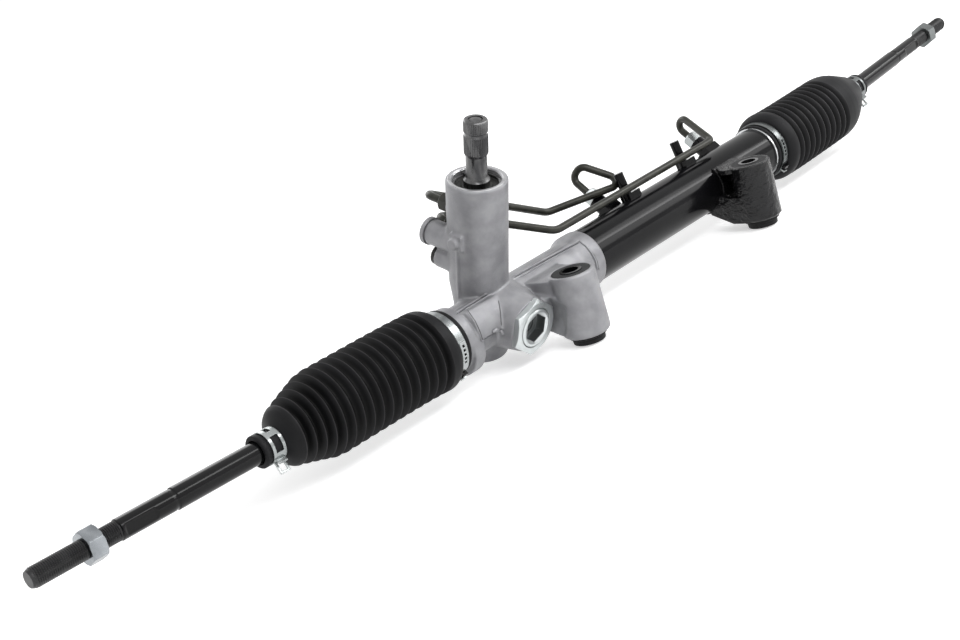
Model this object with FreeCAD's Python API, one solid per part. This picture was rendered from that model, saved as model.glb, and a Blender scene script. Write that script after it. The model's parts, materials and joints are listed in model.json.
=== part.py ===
import FreeCAD, Part
import math
import os

os.makedirs("parts", exist_ok=True)
V = FreeCAD.Vector

# Driving dimensions in mm
ROD_D = 16.0            # tie rod body
THREAD_D = 14.0         # tie rod thread, major diameter
THREAD_PITCH = 1.5
BAR_D = 24.0            # rack bar
TUBE_D = 46.6           # cylinder tube, outside
TUBE_WALL = 4.3
BARREL_D = 42.0         # aluminium housing around the rack bar
TOWER_D = 47.0          # valve tower, outside
TOWER_BORE_D = 37.0
TOWER_TOP = 110.5       # height of the tower mouth above the rack axis, along the pinion axis
TILT_DEG = 20.5         # lean of the pinion axis towards the mounting side
MODULE = 2.0            # gear module
PINION_TEETH = 8
STROKE = 60.0           # rack travel each way from the centre
MOUNT_PITCH = 245.0     # distance between the two mounting bolts
MOUNT_X = 44.0          # pinion side bolt measured from the pinion axis
MOUNT_Y = -48.0         # bolts stand this far in front of the rack axis
BOLT_D = 12.6
BUSH_TOP = 17.3
BUSH_BOTTOM = -41.5
LINE_D = 6.35           # transfer line outside diameter
BELLOWS_D = 65.4
NEAR_TILT = 2.0         # tie rods stand slightly raised
FAR_TILT = 4.0

# Clearances in mm
RUN = 0.04              # radial running clearance
SEAT = 0.02             # radial clearance of parts seated in each other
FACE = 0.02             # gap between faces that meet
SOFT = 0.30             # gap kept around soft parts
BACKLASH = 0.06

# Gear sizes
PRESSURE = math.radians(25.0)
SHIFT = 0.35 * MODULE
PITCH_R = MODULE * PINION_TEETH / 2
BASE_R = PITCH_R * math.cos(PRESSURE)
TIP_R = PITCH_R + 0.85 * MODULE + SHIFT
ROOT_R = PITCH_R - 0.8 * MODULE
RACK_TIP = 0.6 * MODULE
RACK_ROOT = TIP_R - PITCH_R + 0.3
PITCH_H = BAR_D / 2 - 5.0
PINION_D = PITCH_R + PITCH_H
TOOTH_PITCH = math.pi * MODULE
TOOTH_ZONE = STROKE + 10.0

# Places along the rack, measured from the pinion axis
HOUSING_NEAR = -68.0
HOUSING_LIP = -53.7
HOUSING_FAR = 110.0
TUBE_SPIGOT = 16.0
INNER_HEAD = 140.0
OUTER_HEAD = 351.0
HEAD_LENGTH = 18.0
TUBE_FAR = OUTER_HEAD + HEAD_LENGTH + 7.0
RING_X = TUBE_FAR - 12.5
RING_LENGTH = 2.4
PORT_X = (INNER_HEAD + 34.0, OUTER_HEAD - 29.0)     # pressure fittings on the tube
POST_X = (PORT_X[0] + 13.2, PORT_X[0] + 94.0)       # stub posts beside the lines
PISTON_X = (PORT_X[0] + PORT_X[1]) / 2
BALL_NEAR = HOUSING_NEAR - 85.0
BALL_FAR = TUBE_FAR + 96.0
BAR_NEAR = BALL_NEAR + 20.0
BAR_FAR = BALL_FAR - 20.0

# Housing and tube details
TUBE_R = TUBE_D / 2
TUBE_BORE_R = TUBE_R - TUBE_WALL
SPIGOT_R = TUBE_BORE_R + 2.4
SEAL_POCKET_R = (BAR_D / 2 + TUBE_BORE_R) / 2 + 0.5
FLANGE_R = TUBE_R + 1.3
CUFF_D = TUBE_D + 4.4
LIP_R = CUFF_D / 2 - 1.1
CUFF_SEAT_R = CUFF_D / 2 - 3.2
BUSH_R = 15.3
SLEEVE_R = 8.8
PORT_ANGLE = 46.0       # fittings lean back from the vertical
POST_ANGLE = 11.5
FITTING_TOP = TUBE_R + 16.7
LINE_BENDS = (9.0, 16.0, 7.0, 7.2, 6.8)
NUT_SPIGOT_R = 5.2

# Heights along the pinion axis
CAP_BOTTOM = -39.0
NUT_LOW = -34.5
LOWER_BEARING = (-28.0, -18.0)
LOWER_R = 16.0
PINION_FACE = 15.0
UPPER_BEARING = (18.0, 27.0)
HUB_R = 15.0
SLEEVE = (34.0, 86.0)
TOP_BEARING = (88.0, 97.5)
SHAFT_SEAL = (98.0, 105.0)
SNAP_RING = (105.6, 107.0)
SHAFT_TOP = 157.7
SHAFT_R = 10.0
SPLINE_R = 9.15
SHAFT_NECK_R = 8.0
BOLT_GROOVE = SHAFT_TOP - 10.9
LINE_PORTS = ((0.0, 80.0), (6.0, 59.5))     # place along the rack and height
PRESSURE_PORT = (-12.0, 58.5)
RETURN_PORT = (-12.0, 40.5)
NUT_BACK = 26.0
PORT_BACK = 36.0

# Distances of the yoke parts from the rack axis
YOKE_X = 4.0
YOKE_D = 28.0
YOKE_BACK = 15.2
YOKE_FLOOR = 19.0
YOKE_BOSS = 33.5
PLUG_D = 32.0
SPRING_SEAT = 26.0
YOKE_SPRING = (YOKE_BACK + FACE, SPRING_SEAT - FACE)
LOCKNUT = (YOKE_BOSS + FACE, YOKE_BOSS + 5.0)
PLUG_TOP = YOKE_BOSS + 6.0

# Ball joints and tie rods, measured from the ball centre
ROD_LENGTH = 262.0
STUD_R = 7.0
BALL_R = 11.5
SEAT_R = 14.2
MOUTH_DEG = 52.0
SEAT_MOUTH_DEG = 50.0
NEAR_NUT = 50.0
FAR_NUT = 43.0
NUT_LENGTH = 11.5
MESH_R = THREAD_D / 2 - 0.325 * THREAD_PITCH     # under a nut the threads meet at their pitch diameter
NEAR_SMALL_CUFF = (68.0, 86.0)
FAR_SMALL_CUFF = (63.5, 80.5)
NEAR_CUFF = (HOUSING_NEAR + 2.0, HOUSING_LIP - SOFT)
FAR_CUFF = (RING_X + RING_LENGTH + SOFT, TUBE_FAR + 2.0)
CLAMP_LENGTH = 7.0

# Bellows: first fold and pitch from the ball centre, and the lift of the soft middle
NEAR_FOLDS = (-65.3, 8.93, 11)
NEAR_CONE_FOLDS = (31.9, 7.2, 5)
FAR_FOLDS = (-74.5, 9.25, 9)
NEAR_FOLD_DEPTH = 5.0
FAR_FOLD_DEPTH = 3.4
NEAR_LIFT = 1.8
FAR_LIFT = -1.6

# Directions and the shift to the mounting frame
TILT = math.radians(TILT_DEG)
YOKE_DIR = V(0, -math.cos(TILT), -math.sin(TILT))
UP = V(0, -math.sin(TILT), math.cos(TILT))
AXIS_X = V(1, 0, 0)
ORIGIN_SHIFT = V(-MOUNT_X, -MOUNT_Y, -(BUSH_TOP + BUSH_BOTTOM) / 2)


def save(shape, node):
    placed = shape.copy()
    placed.translate(ORIGIN_SHIFT)
    placed.exportStep("parts/" + node + ".step")


def rod(start, direction, radius, length):
    return Part.makeCylinder(radius, length, start, direction)


def ring(start, direction, outer, inner, length):
    body = rod(start, direction, outer, length)
    return body.cut(rod(start - direction, direction, inner, length + 2))


def turned(start, direction, profile):
    # profile lists (distance along the axis, radius) from one end to the other
    side = direction.cross(V(0.3, 0.5, 0.8))
    side.normalize()
    points = [start + direction * profile[0][0]]
    for along, radius in profile:
        points.append(start + direction * along + side * radius)
    points.append(start + direction * profile[-1][0])
    face = Part.Face(Part.makePolygon(points + [points[0]]))
    return face.revolve(start, direction, 360)


def hollow_turned(start, direction, outline):
    # outline lists (distance along the axis, radius) as a closed section away from the axis
    side = direction.cross(V(0.3, 0.5, 0.8))
    side.normalize()
    points = [start + direction * a + side * r for a, r in outline]
    face = Part.Face(Part.makePolygon(points + [points[0]]))
    return face.revolve(start, direction, 360)


def turned_ball(centre, direction, section):
    # section lists straight points and arcs given as (radius, start angle, end angle) about the centre
    side = direction.cross(V(0.3, 0.5, 0.8))
    side.normalize()

    def place(along, away):
        return centre + direction * along + side * away

    edges = []
    last = None
    first = None
    for item in section:
        if len(item) == 3:
            radius, begin, end = item
            marks = [math.radians(begin), math.radians((begin + end) / 2), math.radians(end)]
            spots = [place(radius * math.cos(mark), radius * math.sin(mark)) for mark in marks]
            if last is not None:
                edges.append(Part.makeLine(last, spots[0]))
            edges.append(Part.Arc(spots[0], spots[1], spots[2]).toShape())
            first = first or spots[0]
            last = spots[2]
        else:
            spot = place(item[0], item[1])
            if last is not None:
                edges.append(Part.makeLine(last, spot))
            first = first or spot
            last = spot
    edges.append(Part.makeLine(last, first))
    return Part.Face(Part.Wire(edges)).revolve(centre, direction, 360)


def hexagon(start, direction, across_flats, length, side):
    reach = across_flats / math.sqrt(3)
    across = direction.cross(side)
    points = []
    for step in range(7):
        angle = math.radians(60 * step)
        points.append(start + side * (reach * math.cos(angle)) + across * (reach * math.sin(angle)))
    return Part.Face(Part.makePolygon(points)).extrude(direction * length)


def block(centre, size_x, size_y, size_z):
    corner = centre - V(size_x / 2, size_y / 2, size_z / 2)
    return Part.makeBox(size_x, size_y, size_z, corner)


def prism(points, depth):
    return Part.Face(Part.makePolygon(points + [points[0]])).extrude(depth)


def fuse(shapes):
    body = shapes[0].multiFuse(shapes[1:])
    return body.removeSplitter()


def tube_section(centre, direction, outer, inner):
    wires = []
    for radius in (outer, inner):
        wires.append(Part.Wire(Part.makeCircle(radius, centre, direction)))
    return Part.Face(wires)


def bent_tube(points, bends, outer, inner):
    # straight runs joined by tangent arcs
    pieces = []
    last = points[0]
    for index in range(1, len(points) - 1):
        corner = points[index]
        back = (points[index - 1] - corner).normalize()
        ahead = (points[index + 1] - corner).normalize()
        half = back.getAngle(ahead) / 2
        cut = bends[index - 1] / math.tan(half)
        first = corner + back * cut
        second = corner + ahead * cut
        centre = corner + (back + ahead).normalize() * (bends[index - 1] / math.sin(half))
        pieces.append(tube_section(last, back, outer, inner).extrude(first - last))
        turn_axis = (first - centre).cross(second - centre)
        section = tube_section(first, back, outer, inner)
        pieces.append(section.revolve(centre, turn_axis, 180 - math.degrees(2 * half)))
        last = second
    pieces.append(tube_section(last, points[-1] - last, outer, inner).extrude(points[-1] - last))
    return pieces[0].multiFuse(pieces[1:])


def radial(x, angle_deg, radius):
    angle = math.radians(angle_deg)
    return V(x, radius * math.sin(angle), radius * math.cos(angle))


def radial_dir(angle_deg):
    return radial(0, angle_deg, 1.0)


def tower_point(height, back=0.0, x=0.0):
    return V(x, 0, 0) - YOKE_DIR * (PINION_D + back) + UP * height


def yoke_point(distance):
    return V(YOKE_X, 0, 0) + YOKE_DIR * distance


def swung(shape, pivot_x, tilt_deg):
    turned_shape = shape.copy()
    turned_shape.rotate(V(pivot_x, 0, 0), V(0, 1, 0), tilt_deg)
    return turned_shape


def housing_outside():
    shapes = []
    shapes.append(turned(V(0, 0, 0), AXIS_X, [
        (HOUSING_NEAR, CUFF_SEAT_R), (HOUSING_LIP, CUFF_SEAT_R), (HOUSING_LIP, LIP_R - 0.8),
        (HOUSING_LIP + 1.5, LIP_R), (HOUSING_LIP + 8.5, LIP_R), (HOUSING_LIP + 10.5, BARREL_D / 2),
        (HOUSING_FAR - 20, BARREL_D / 2), (HOUSING_FAR - 14, FLANGE_R), (HOUSING_FAR - 1, FLANGE_R),
        (HOUSING_FAR, FLANGE_R - 0.7)]))
    shapes.append(turned(tower_point(0), UP, [
        (CAP_BOTTOM, 20.5), (CAP_BOTTOM + 1.5, 22.0), (-16, 22.0), (-6, 20.0), (6, 20.0),
        (25, TOWER_D / 2 - 0.6), (TOWER_TOP - 0.8, TOWER_D / 2), (TOWER_TOP, TOWER_D / 2 - 0.8)]))
    shapes.append(turned(yoke_point(0), YOKE_DIR, [
        (0, 27.0), (14, 25.0), (YOKE_BOSS - 3, 21.6), (YOKE_BOSS, 21.0)]))
    shapes.append(mount_ear())
    shapes.extend(valve_bosses())
    shapes.extend(casting_ribs())
    return fuse(shapes)


def mount_ear():
    centre = V(MOUNT_X, MOUNT_Y, 0)
    barrel = turned(centre, V(0, 0, 1), [
        (BUSH_BOTTOM + 7.0, 16.5), (BUSH_BOTTOM + 9.0, 18.7), (BUSH_TOP - 2.0, 18.7), (BUSH_TOP - 0.5, 17.8)])
    low = BUSH_BOTTOM + 9.0
    upper = prism([V(MOUNT_X - 17, MOUNT_Y + 4, 0), V(MOUNT_X + 17, MOUNT_Y + 4, 0),
                   V(MOUNT_X + 22, -4, 0), V(MOUNT_X - 22, -4, 0)], V(0, 0, BUSH_TOP - 3.0))
    lower = Part.makeLoft([
        Part.makePolygon([V(MOUNT_X - 17.5, MOUNT_Y + 2, low), V(MOUNT_X + 17.5, MOUNT_Y + 2, low),
                          V(MOUNT_X + 17.5, MOUNT_Y + 2, 2), V(MOUNT_X - 17.5, MOUNT_Y + 2, 2),
                          V(MOUNT_X - 17.5, MOUNT_Y + 2, low)]),
        Part.makePolygon([V(MOUNT_X - 32, -6, -19), V(MOUNT_X + 24, -6, -19),
                          V(MOUNT_X + 24, -6, 8), V(MOUNT_X - 32, -6, 8), V(MOUNT_X - 32, -6, -19)])],
        True, True)
    return barrel.fuse(upper).fuse(lower)


def valve_bosses():
    shapes = []
    back = TOWER_D / 2 + 1.0
    top = LINE_PORTS[0][1] + 7.0
    spine = prism([V(-8, 10, -6), V(-8, back - 7, 2), V(-8, back, 20), V(-8, back, top), V(-8, 10, top)],
                  V(18, 0, 0))
    shapes.append(aligned(spine, tower_point(0)))
    for x, height in LINE_PORTS:
        shapes.append(rod(tower_point(height, 12, x), -YOKE_DIR, 8.0, NUT_BACK - 12))
    shapes.append(rod(tower_point(PRESSURE_PORT[1], 2, PRESSURE_PORT[0]), -YOKE_DIR, 10.0, PORT_BACK - 2))
    shapes.append(rod(tower_point(RETURN_PORT[1], 2, RETURN_PORT[0]), -YOKE_DIR, 8.8, PORT_BACK - 10))
    return shapes


def aligned(shape, place):
    # local Y points away from the yoke, local Z along the pinion axis
    moved = shape.copy()
    moved.rotate(V(0, 0, 0), AXIS_X, TILT_DEG)
    moved.translate(place)
    return moved


def casting_ribs():
    shapes = []
    pad_near = HOUSING_LIP + 11.2
    pad_length = -7.0 - pad_near
    pad = rod(V(pad_near, 0, 0), AXIS_X, LIP_R + 0.5, pad_length)
    shapes.append(pad.common(block(V(pad_near + pad_length / 2, -20, 7.5), pad_length, 40, 23)))
    shapes.append(rod(V(HOUSING_LIP + 3, -1, -6.5), AXIS_X, LIP_R - 0.6, 11))
    for x0, x1 in ((HOUSING_LIP + 6, -18.0), (18.0, HOUSING_FAR - 16)):
        for side in (1, -1):
            rib = Part.makeBox(x1 - x0, 3.0, 2.6, V(x0, -1.5, BARREL_D / 2 - 1.6))
            rib.rotate(V(0, 0, 0), AXIS_X, 20 + (0 if side == 1 else 180))
            shapes.append(rib)
    boss = Part.makeBox(6, 12, 13, V(-TOWER_D / 2 - 2.2, -6, 0))
    shapes.append(aligned(boss, tower_point(60, 0)))
    shapes.append(rod(tower_point(66, 0.5, -TOWER_D / 2 - 6), AXIS_X, 4.6, 8))
    seam = Part.makeBox(3.2, 2.0, 62, V(-TOWER_D / 2 - 0.5, -1, 0))
    shapes.append(aligned(seam, tower_point(2, 0)))
    return shapes


def rack_housing():
    body = housing_outside()
    body = body.cut(rod(V(HOUSING_NEAR - 1, 0, 0), AXIS_X, BAR_D / 2 + 1.5, HOUSING_FAR - HOUSING_NEAR + 2))
    body = body.cut(rod(V(HOUSING_FAR - TUBE_SPIGOT - FACE, 0, 0), AXIS_X, SPIGOT_R + SEAT, TUBE_SPIGOT + 2))
    body = body.cut(rod(tower_point(UPPER_BEARING[0]), UP, TOWER_BORE_D / 2, TOWER_TOP))
    body = body.cut(rod(tower_point(-PINION_FACE - 4), UP, TIP_R + 1.2, 40))
    body = body.cut(rod(tower_point(CAP_BOTTOM - 1), UP, LOWER_R + SEAT, LOWER_BEARING[1] - CAP_BOTTOM + 1))
    body = body.cut(rod(tower_point(SNAP_RING[0]), UP, TOWER_BORE_D / 2 + 1.3, SNAP_RING[1] - SNAP_RING[0]))
    body = body.cut(rod(yoke_point(0), YOKE_DIR, YOKE_D / 2 + RUN, 60))
    body = body.cut(rod(yoke_point(YOKE_FLOOR), YOKE_DIR, PLUG_D / 2 + SEAT, 40))
    body = body.cut(rod(yoke_point(YOKE_BOSS), YOKE_DIR, 25.5, 16))
    body = body.cut(rod(V(MOUNT_X, MOUNT_Y, -60), V(0, 0, 1), BUSH_R + SEAT, 100))
    for x, height in LINE_PORTS:
        body = body.cut(rod(tower_point(height, 10, x), -YOKE_DIR, 2.6, 30))
        body = body.cut(rod(tower_point(height, NUT_BACK - 9, x), -YOKE_DIR, NUT_SPIGOT_R + SEAT, 12))
    for place in (PRESSURE_PORT, RETURN_PORT):
        body = body.cut(rod(tower_point(place[1], 6, place[0]), -YOKE_DIR, 3.5, 40))
    seats = ((PRESSURE_PORT, PORT_BACK - 10, 7.0), (RETURN_PORT, PORT_BACK - 18, 6.0))
    for (x, height), back, radius in seats:
        body = body.cut(rod(tower_point(height, back, x), -YOKE_DIR, radius + SEAT, 12))
    return body


def cylinder_tube():
    start = HOUSING_FAR - TUBE_SPIGOT
    body = turned(V(0, 0, 0), AXIS_X, [
        (start, SPIGOT_R), (HOUSING_FAR + FACE, SPIGOT_R), (HOUSING_FAR + FACE, TUBE_R),
        (TUBE_FAR - 1, TUBE_R), (TUBE_FAR, TUBE_R - 1)])
    body = fuse([body] + [tube_fitting(x) for x in PORT_X])
    body = body.cut(rod(V(start - 1, 0, 0), AXIS_X, TUBE_BORE_R, TUBE_FAR))
    lean = radial_dir(PORT_ANGLE)
    for x in PORT_X:
        body = body.cut(rod(radial(x, PORT_ANGLE, TUBE_BORE_R - 5), lean, 2.6, 40))
        body = body.cut(rod(radial(x, PORT_ANGLE, FITTING_TOP - 8), lean, NUT_SPIGOT_R + SEAT, 12))
    return body


def tube_fitting(x):
    direction = radial_dir(PORT_ANGLE)
    root = TUBE_R - 3.3
    body = rod(radial(x, PORT_ANGLE, root), direction, 7.2, FITTING_TOP - root)
    foot = block(V(0, 0, 0), 17, 17, 9)
    foot.rotate(V(0, 0, 0), AXIS_X, -PORT_ANGLE)
    foot.translate(radial(x, PORT_ANGLE, TUBE_R + 0.7))
    return fuse([body, foot])


def line_post(x):
    direction = radial_dir(POST_ANGLE)
    stem = rod(radial(x, POST_ANGLE, TUBE_R - 1.3), direction, 4.2, 25)
    foot = block(V(4.0, 0, 0), 15, 11, 7)
    foot.rotate(V(0, 0, 0), AXIS_X, -POST_ANGLE)
    foot.translate(radial(x, POST_ANGLE, TUBE_R + 1.3))
    body = fuse([stem, foot])
    return body.cut(rod(V(x - 20, 0, 0), AXIS_X, TUBE_R + SEAT, 40))


def right_bracket():
    x = MOUNT_X + MOUNT_PITCH
    low = BUSH_BOTTOM + 8.0
    barrel = turned(V(x, MOUNT_Y, 0), V(0, 0, 1), [
        (low, 16.6), (low + 1.5, 18.3), (BUSH_TOP - 1.5, 18.3), (BUSH_TOP - 0.5, 17.4)])
    root = -TUBE_R + 15.0
    knee = MOUNT_Y + 17.0
    top = prism([V(x - 19, knee - 5, 12), V(x - 19, knee, 12), V(x - 5, root - 6, 12),
                 V(x + 15, root - 6, 12), V(x + 17, MOUNT_Y, 12), V(x - 8, MOUNT_Y - 14, 12)], V(0, 0, 4.0))
    left_web = prism([V(x - 18, MOUNT_Y, low), V(x - 18, knee, low), V(x - 18, root - 1, low + 9),
                      V(x - 18, root - 1, -4), V(x - 18, knee, -10), V(x - 18, MOUNT_Y, -10)], V(5, 0, 0))
    right_web = prism([V(x + 9, MOUNT_Y, low + 2), V(x + 9, root, low + 12), V(x + 9, root, 13),
                       V(x + 9, MOUNT_Y, 13)], V(5, 0, 0))
    floor = prism([V(x - 18, MOUNT_Y, low + 1), V(x - 18, -30, low + 1), V(x + 14, -24, low + 1),
                   V(x + 14, MOUNT_Y, low + 1)], V(0, 0, 4))
    saddle = ring(V(x - 13, 0, 0), AXIS_X, TUBE_R + 2.2, TUBE_R, 29)
    saddle = saddle.cut(block(V(x, 40, 0), 120, 80, 120))
    saddle = saddle.cut(block(V(x, -40, TUBE_R + 12.7), 120, 80, 40))
    body = fuse([barrel, top, left_web, right_web, floor, saddle])
    body = body.cut(rod(V(x - 80, 0, 0), AXIS_X, TUBE_R + SEAT, 160))
    return body.cut(rod(V(x, MOUNT_Y, -60), V(0, 0, 1), BUSH_R + SEAT, 100))


def bush_sleeve(x):
    start = V(x, MOUNT_Y, BUSH_BOTTOM)
    return ring(start, V(0, 0, 1), SLEEVE_R, BOLT_D / 2, BUSH_TOP - BUSH_BOTTOM)


def bush_rubber(x):
    inner = SLEEVE_R + SEAT
    low = BUSH_BOTTOM + 0.8
    outline = [(low, inner), (BUSH_TOP - 0.6, inner), (BUSH_TOP - 0.6, BUSH_R), (BUSH_BOTTOM + 6, BUSH_R),
               (BUSH_BOTTOM + 5, 13.2), (low, 12.8)]
    return hollow_turned(V(x, MOUNT_Y, 0), V(0, 0, 1), outline)


def input_shaft():
    # the lower splined land and the top one leave a groove for the clamp bolt between them
    collar = SHAFT_SEAL[1] + 5.0
    land = BOLT_GROOVE - 15.3
    body = turned(tower_point(0), UP, [
        (SLEEVE[0] + 12, 12.0 - RUN), (SLEEVE[1] - 2, 12.0 - RUN), (SLEEVE[1] - 2, SHAFT_R),
        (collar, SHAFT_R), (collar + 1.5, 8.6), (collar + 3, SHAFT_NECK_R), (land - 3, SHAFT_NECK_R),
        (land, SPLINE_R),
        (BOLT_GROOVE - 1.6, SPLINE_R), (BOLT_GROOVE - 0.8, 8.2), (BOLT_GROOVE + 0.8, 8.2),
        (BOLT_GROOVE + 1.6, SPLINE_R), (SHAFT_TOP - 1.2, SPLINE_R), (SHAFT_TOP, 8.2)])
    body = body.cut(rod(tower_point(SLEEVE[0]), UP, 4.5, SHAFT_TOP))
    return body.cut(rod(tower_point(SHAFT_TOP - 1.4), UP, 5.4, 5))


def torsion_bar():
    head = 4.5 - SEAT
    return turned(tower_point(0), UP, [
        (22, head), (44, head), (50, 2.7), (BOLT_GROOVE - 9, 2.7), (BOLT_GROOVE - 3, head),
        (SHAFT_TOP - 0.4, head)])


def valve_sleeve():
    inner = 12.0
    outer = TOWER_BORE_D / 2 - 0.6
    outline = [(SLEEVE[0], HUB_R + SEAT), (SLEEVE[0] + 10.5, HUB_R + SEAT), (SLEEVE[0] + 10.5, inner),
               (SLEEVE[1], inner), (SLEEVE[1], outer)]
    for index in range(4):
        top = SLEEVE[1] - 5 - index * 14
        outline += [(top, outer), (top, outer - 1.6), (top - 2.1, outer - 1.6), (top - 2.1, outer)]
    outline += [(SLEEVE[0], outer)]
    body = hollow_turned(tower_point(0), UP, outline)
    for index in range(3):
        mid = SLEEVE[1] - 5 - index * 14 - 8
        body = body.cut(rod(tower_point(mid, -30), -YOKE_DIR, 1.6, 60))
    return body


def valve_ring(index):
    low = SLEEVE[1] - 7.1 - index * 14
    outer = TOWER_BORE_D / 2
    return ring(tower_point(low + FACE), UP, outer - RUN, outer - 2.0, 2.1 - 2 * FACE)


def involute(radius):
    angle = math.acos(BASE_R / radius)
    return math.tan(angle) - angle


def tooth_half_angle(radius):
    thickness = TOOTH_PITCH / 2 + 2 * SHIFT * math.tan(PRESSURE) - BACKLASH
    return thickness / (2 * PITCH_R) + involute(PITCH_R) - involute(max(radius, BASE_R))


def gear_point(radius, angle):
    # angle is measured about the pinion axis from the direction of the rack
    side = UP.cross(YOKE_DIR)
    return YOKE_DIR * (radius * math.cos(angle)) + side * (radius * math.sin(angle))


def pinion():
    start = tower_point(-PINION_FACE)
    outline = []
    radii = [ROOT_R] + [BASE_R + (TIP_R - BASE_R) * step / 7 for step in range(8)]
    for tooth in range(PINION_TEETH):
        middle = 2 * math.pi * tooth / PINION_TEETH
        for radius in radii:
            outline.append(start + gear_point(radius, middle - tooth_half_angle(radius)))
        for radius in reversed(radii):
            outline.append(start + gear_point(radius, middle + tooth_half_angle(radius)))
    teeth = prism(outline, UP * (2 * PINION_FACE))
    stem = turned(tower_point(0), UP, [
        (NUT_LOW, 5.0), (LOWER_BEARING[0] + 0.4, 5.0), (LOWER_BEARING[0] + 0.5, 6.0 - SEAT),
        (LOWER_BEARING[1], 6.0 - SEAT), (LOWER_BEARING[1] + FACE, ROOT_R), (PINION_FACE, ROOT_R),
        (PINION_FACE + 0.2, 10.0 - SEAT), (UPPER_BEARING[1], 10.0 - SEAT),
        (UPPER_BEARING[1] + FACE, HUB_R - 3.0), (SLEEVE[0] - FACE, HUB_R - 3.0), (SLEEVE[0] - FACE, HUB_R),
        (SLEEVE[0] + 10, HUB_R)])
    body = fuse([teeth, stem])
    return body.cut(rod(tower_point(22 - FACE), UP, 4.5, 40))


def bearing_outer(span, outer, inner):
    wall = (outer - inner) * 0.28
    start = tower_point(span[0])
    length = span[1] - span[0]
    body = ring(start, UP, outer - SEAT, outer - wall, length)
    for base in (span[0] + 0.4, span[1] - 1.4):
        body = body.fuse(ring(tower_point(base), UP, outer - wall + 0.1, inner + wall + 0.15, 1.0))
    return body.removeSplitter()


def bearing_inner(span, outer, inner):
    wall = (outer - inner) * 0.28
    start = tower_point(span[0])
    return ring(start, UP, inner + wall, inner, span[1] - span[0])


def rack_teeth_cut():
    first = -int(TOOTH_ZONE / TOOTH_PITCH)
    pinion_side = -YOKE_DIR
    cutters = []
    low = PITCH_H - RACK_ROOT
    high = PITCH_H + RACK_TIP + 8
    half_pitch = (TOOTH_PITCH / 2 + 2 * SHIFT * math.tan(PRESSURE)) / 2
    half_low = half_pitch - RACK_ROOT * math.tan(PRESSURE)
    half_top = half_pitch + RACK_TIP * math.tan(PRESSURE)
    tip = PITCH_H + RACK_TIP
    for index in range(first, -first + 1):
        x = index * TOOTH_PITCH
        start = V(x, 0, 0) - UP * 20
        outline = [(-half_low, low), (half_low, low), (half_top, tip), (half_top, high), (-half_top, high),
                   (-half_top, tip)]
        points = [start + AXIS_X * across + pinion_side * height for across, height in outline]
        cutters.append(prism(points, UP * 40))
    reach = (-first + 0.5) * TOOTH_PITCH
    flat = Part.makeBox(2 * reach, 12, 40, V(-reach, tip, -20))
    flat.rotate(V(0, 0, 0), AXIS_X, TILT_DEG)
    cutters.append(flat)
    return cutters


def rack_bar():
    r = BAR_D / 2
    body = turned(V(0, 0, 0), AXIS_X, [
        (BAR_NEAR, r - 1), (BAR_NEAR + 1, r), (PISTON_X - 6, r), (PISTON_X - 6, r - 1.2),
        (PISTON_X + 6, r - 1.2), (PISTON_X + 6, r), (BAR_FAR - 1, r), (BAR_FAR, r - 1)])
    for cutter in rack_teeth_cut():
        body = body.cut(cutter)
    body = body.cut(rod(V(BAR_NEAR - 1, 0, 0), AXIS_X, STUD_R + SEAT, 20))
    return body.cut(rod(V(BAR_FAR - 19, 0, 0), AXIS_X, STUD_R + SEAT, 20))


def piston():
    outer = TUBE_BORE_R - 0.25
    inner = BAR_D / 2 - 1.2 + SEAT
    half = 6.0 - FACE
    outline = [(-half, inner), (half, inner), (half, outer), (1.6, outer), (1.6, outer - 2.2),
               (-1.6, outer - 2.2), (-1.6, outer), (-half, outer)]
    return hollow_turned(V(PISTON_X, 0, 0), AXIS_X, outline)


def piston_ring():
    outer = TUBE_BORE_R - RUN
    return ring(V(PISTON_X - 1.6 + FACE, 0, 0), AXIS_X, outer, TUBE_BORE_R - 2.4, 3.2 - 2 * FACE)


def bulkhead(start, pocket_start, pocket_length):
    body = ring(V(start, 0, 0), AXIS_X, TUBE_BORE_R - SEAT, BAR_D / 2 + RUN, HEAD_LENGTH)
    return body.cut(rod(V(pocket_start, 0, 0), AXIS_X, SEAL_POCKET_R + SEAT, pocket_length))


def inner_bulkhead():
    return bulkhead(INNER_HEAD, INNER_HEAD + HEAD_LENGTH - 7 - FACE, 9)


def inner_seal():
    return ring(V(INNER_HEAD + HEAD_LENGTH - 7, 0, 0), AXIS_X, SEAL_POCKET_R, BAR_D / 2 + RUN, 7)


def outer_bulkhead():
    return bulkhead(OUTER_HEAD, OUTER_HEAD - 1, 8 + FACE)


def outer_seal():
    return ring(V(OUTER_HEAD, 0, 0), AXIS_X, SEAL_POCKET_R, BAR_D / 2 + RUN, 7)


def bulkhead_wire():
    return ring(V(OUTER_HEAD + HEAD_LENGTH + FACE, 0, 0), AXIS_X, TUBE_BORE_R - SEAT, TUBE_BORE_R - 3, 2.0)


def tube_end_ring():
    return ring(V(RING_X, 0, 0), AXIS_X, TUBE_R + 1.4, TUBE_R + SEAT, RING_LENGTH)


def yoke():
    body = rod(yoke_point(6.0), YOKE_DIR, YOKE_D / 2, 12.6)
    body = body.cut(rod(V(YOKE_X - 30, 0, 0), AXIS_X, BAR_D / 2 + RUN, 60))
    return body.cut(rod(yoke_point(YOKE_BACK), YOKE_DIR, 9.5, 10))


def yoke_spring():
    # four conical discs stacked rim to rim and bore to bore
    low, high = YOKE_SPRING
    step = (high - low) / 4
    sheet = step * 0.42
    outline = [(low, 9.0), (low + step - sheet, 5.0), (low + 2 * step, 8.5), (low + 3 * step - sheet, 5.0),
               (high - sheet, 9.0), (high, 9.0), (low + 3 * step + sheet, 5.9), (low + 2 * step + 0.1, 9.4),
               (low + step + sheet, 5.9), (low + sheet, 9.0)]
    return hollow_turned(yoke_point(0), YOKE_DIR, outline)


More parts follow.
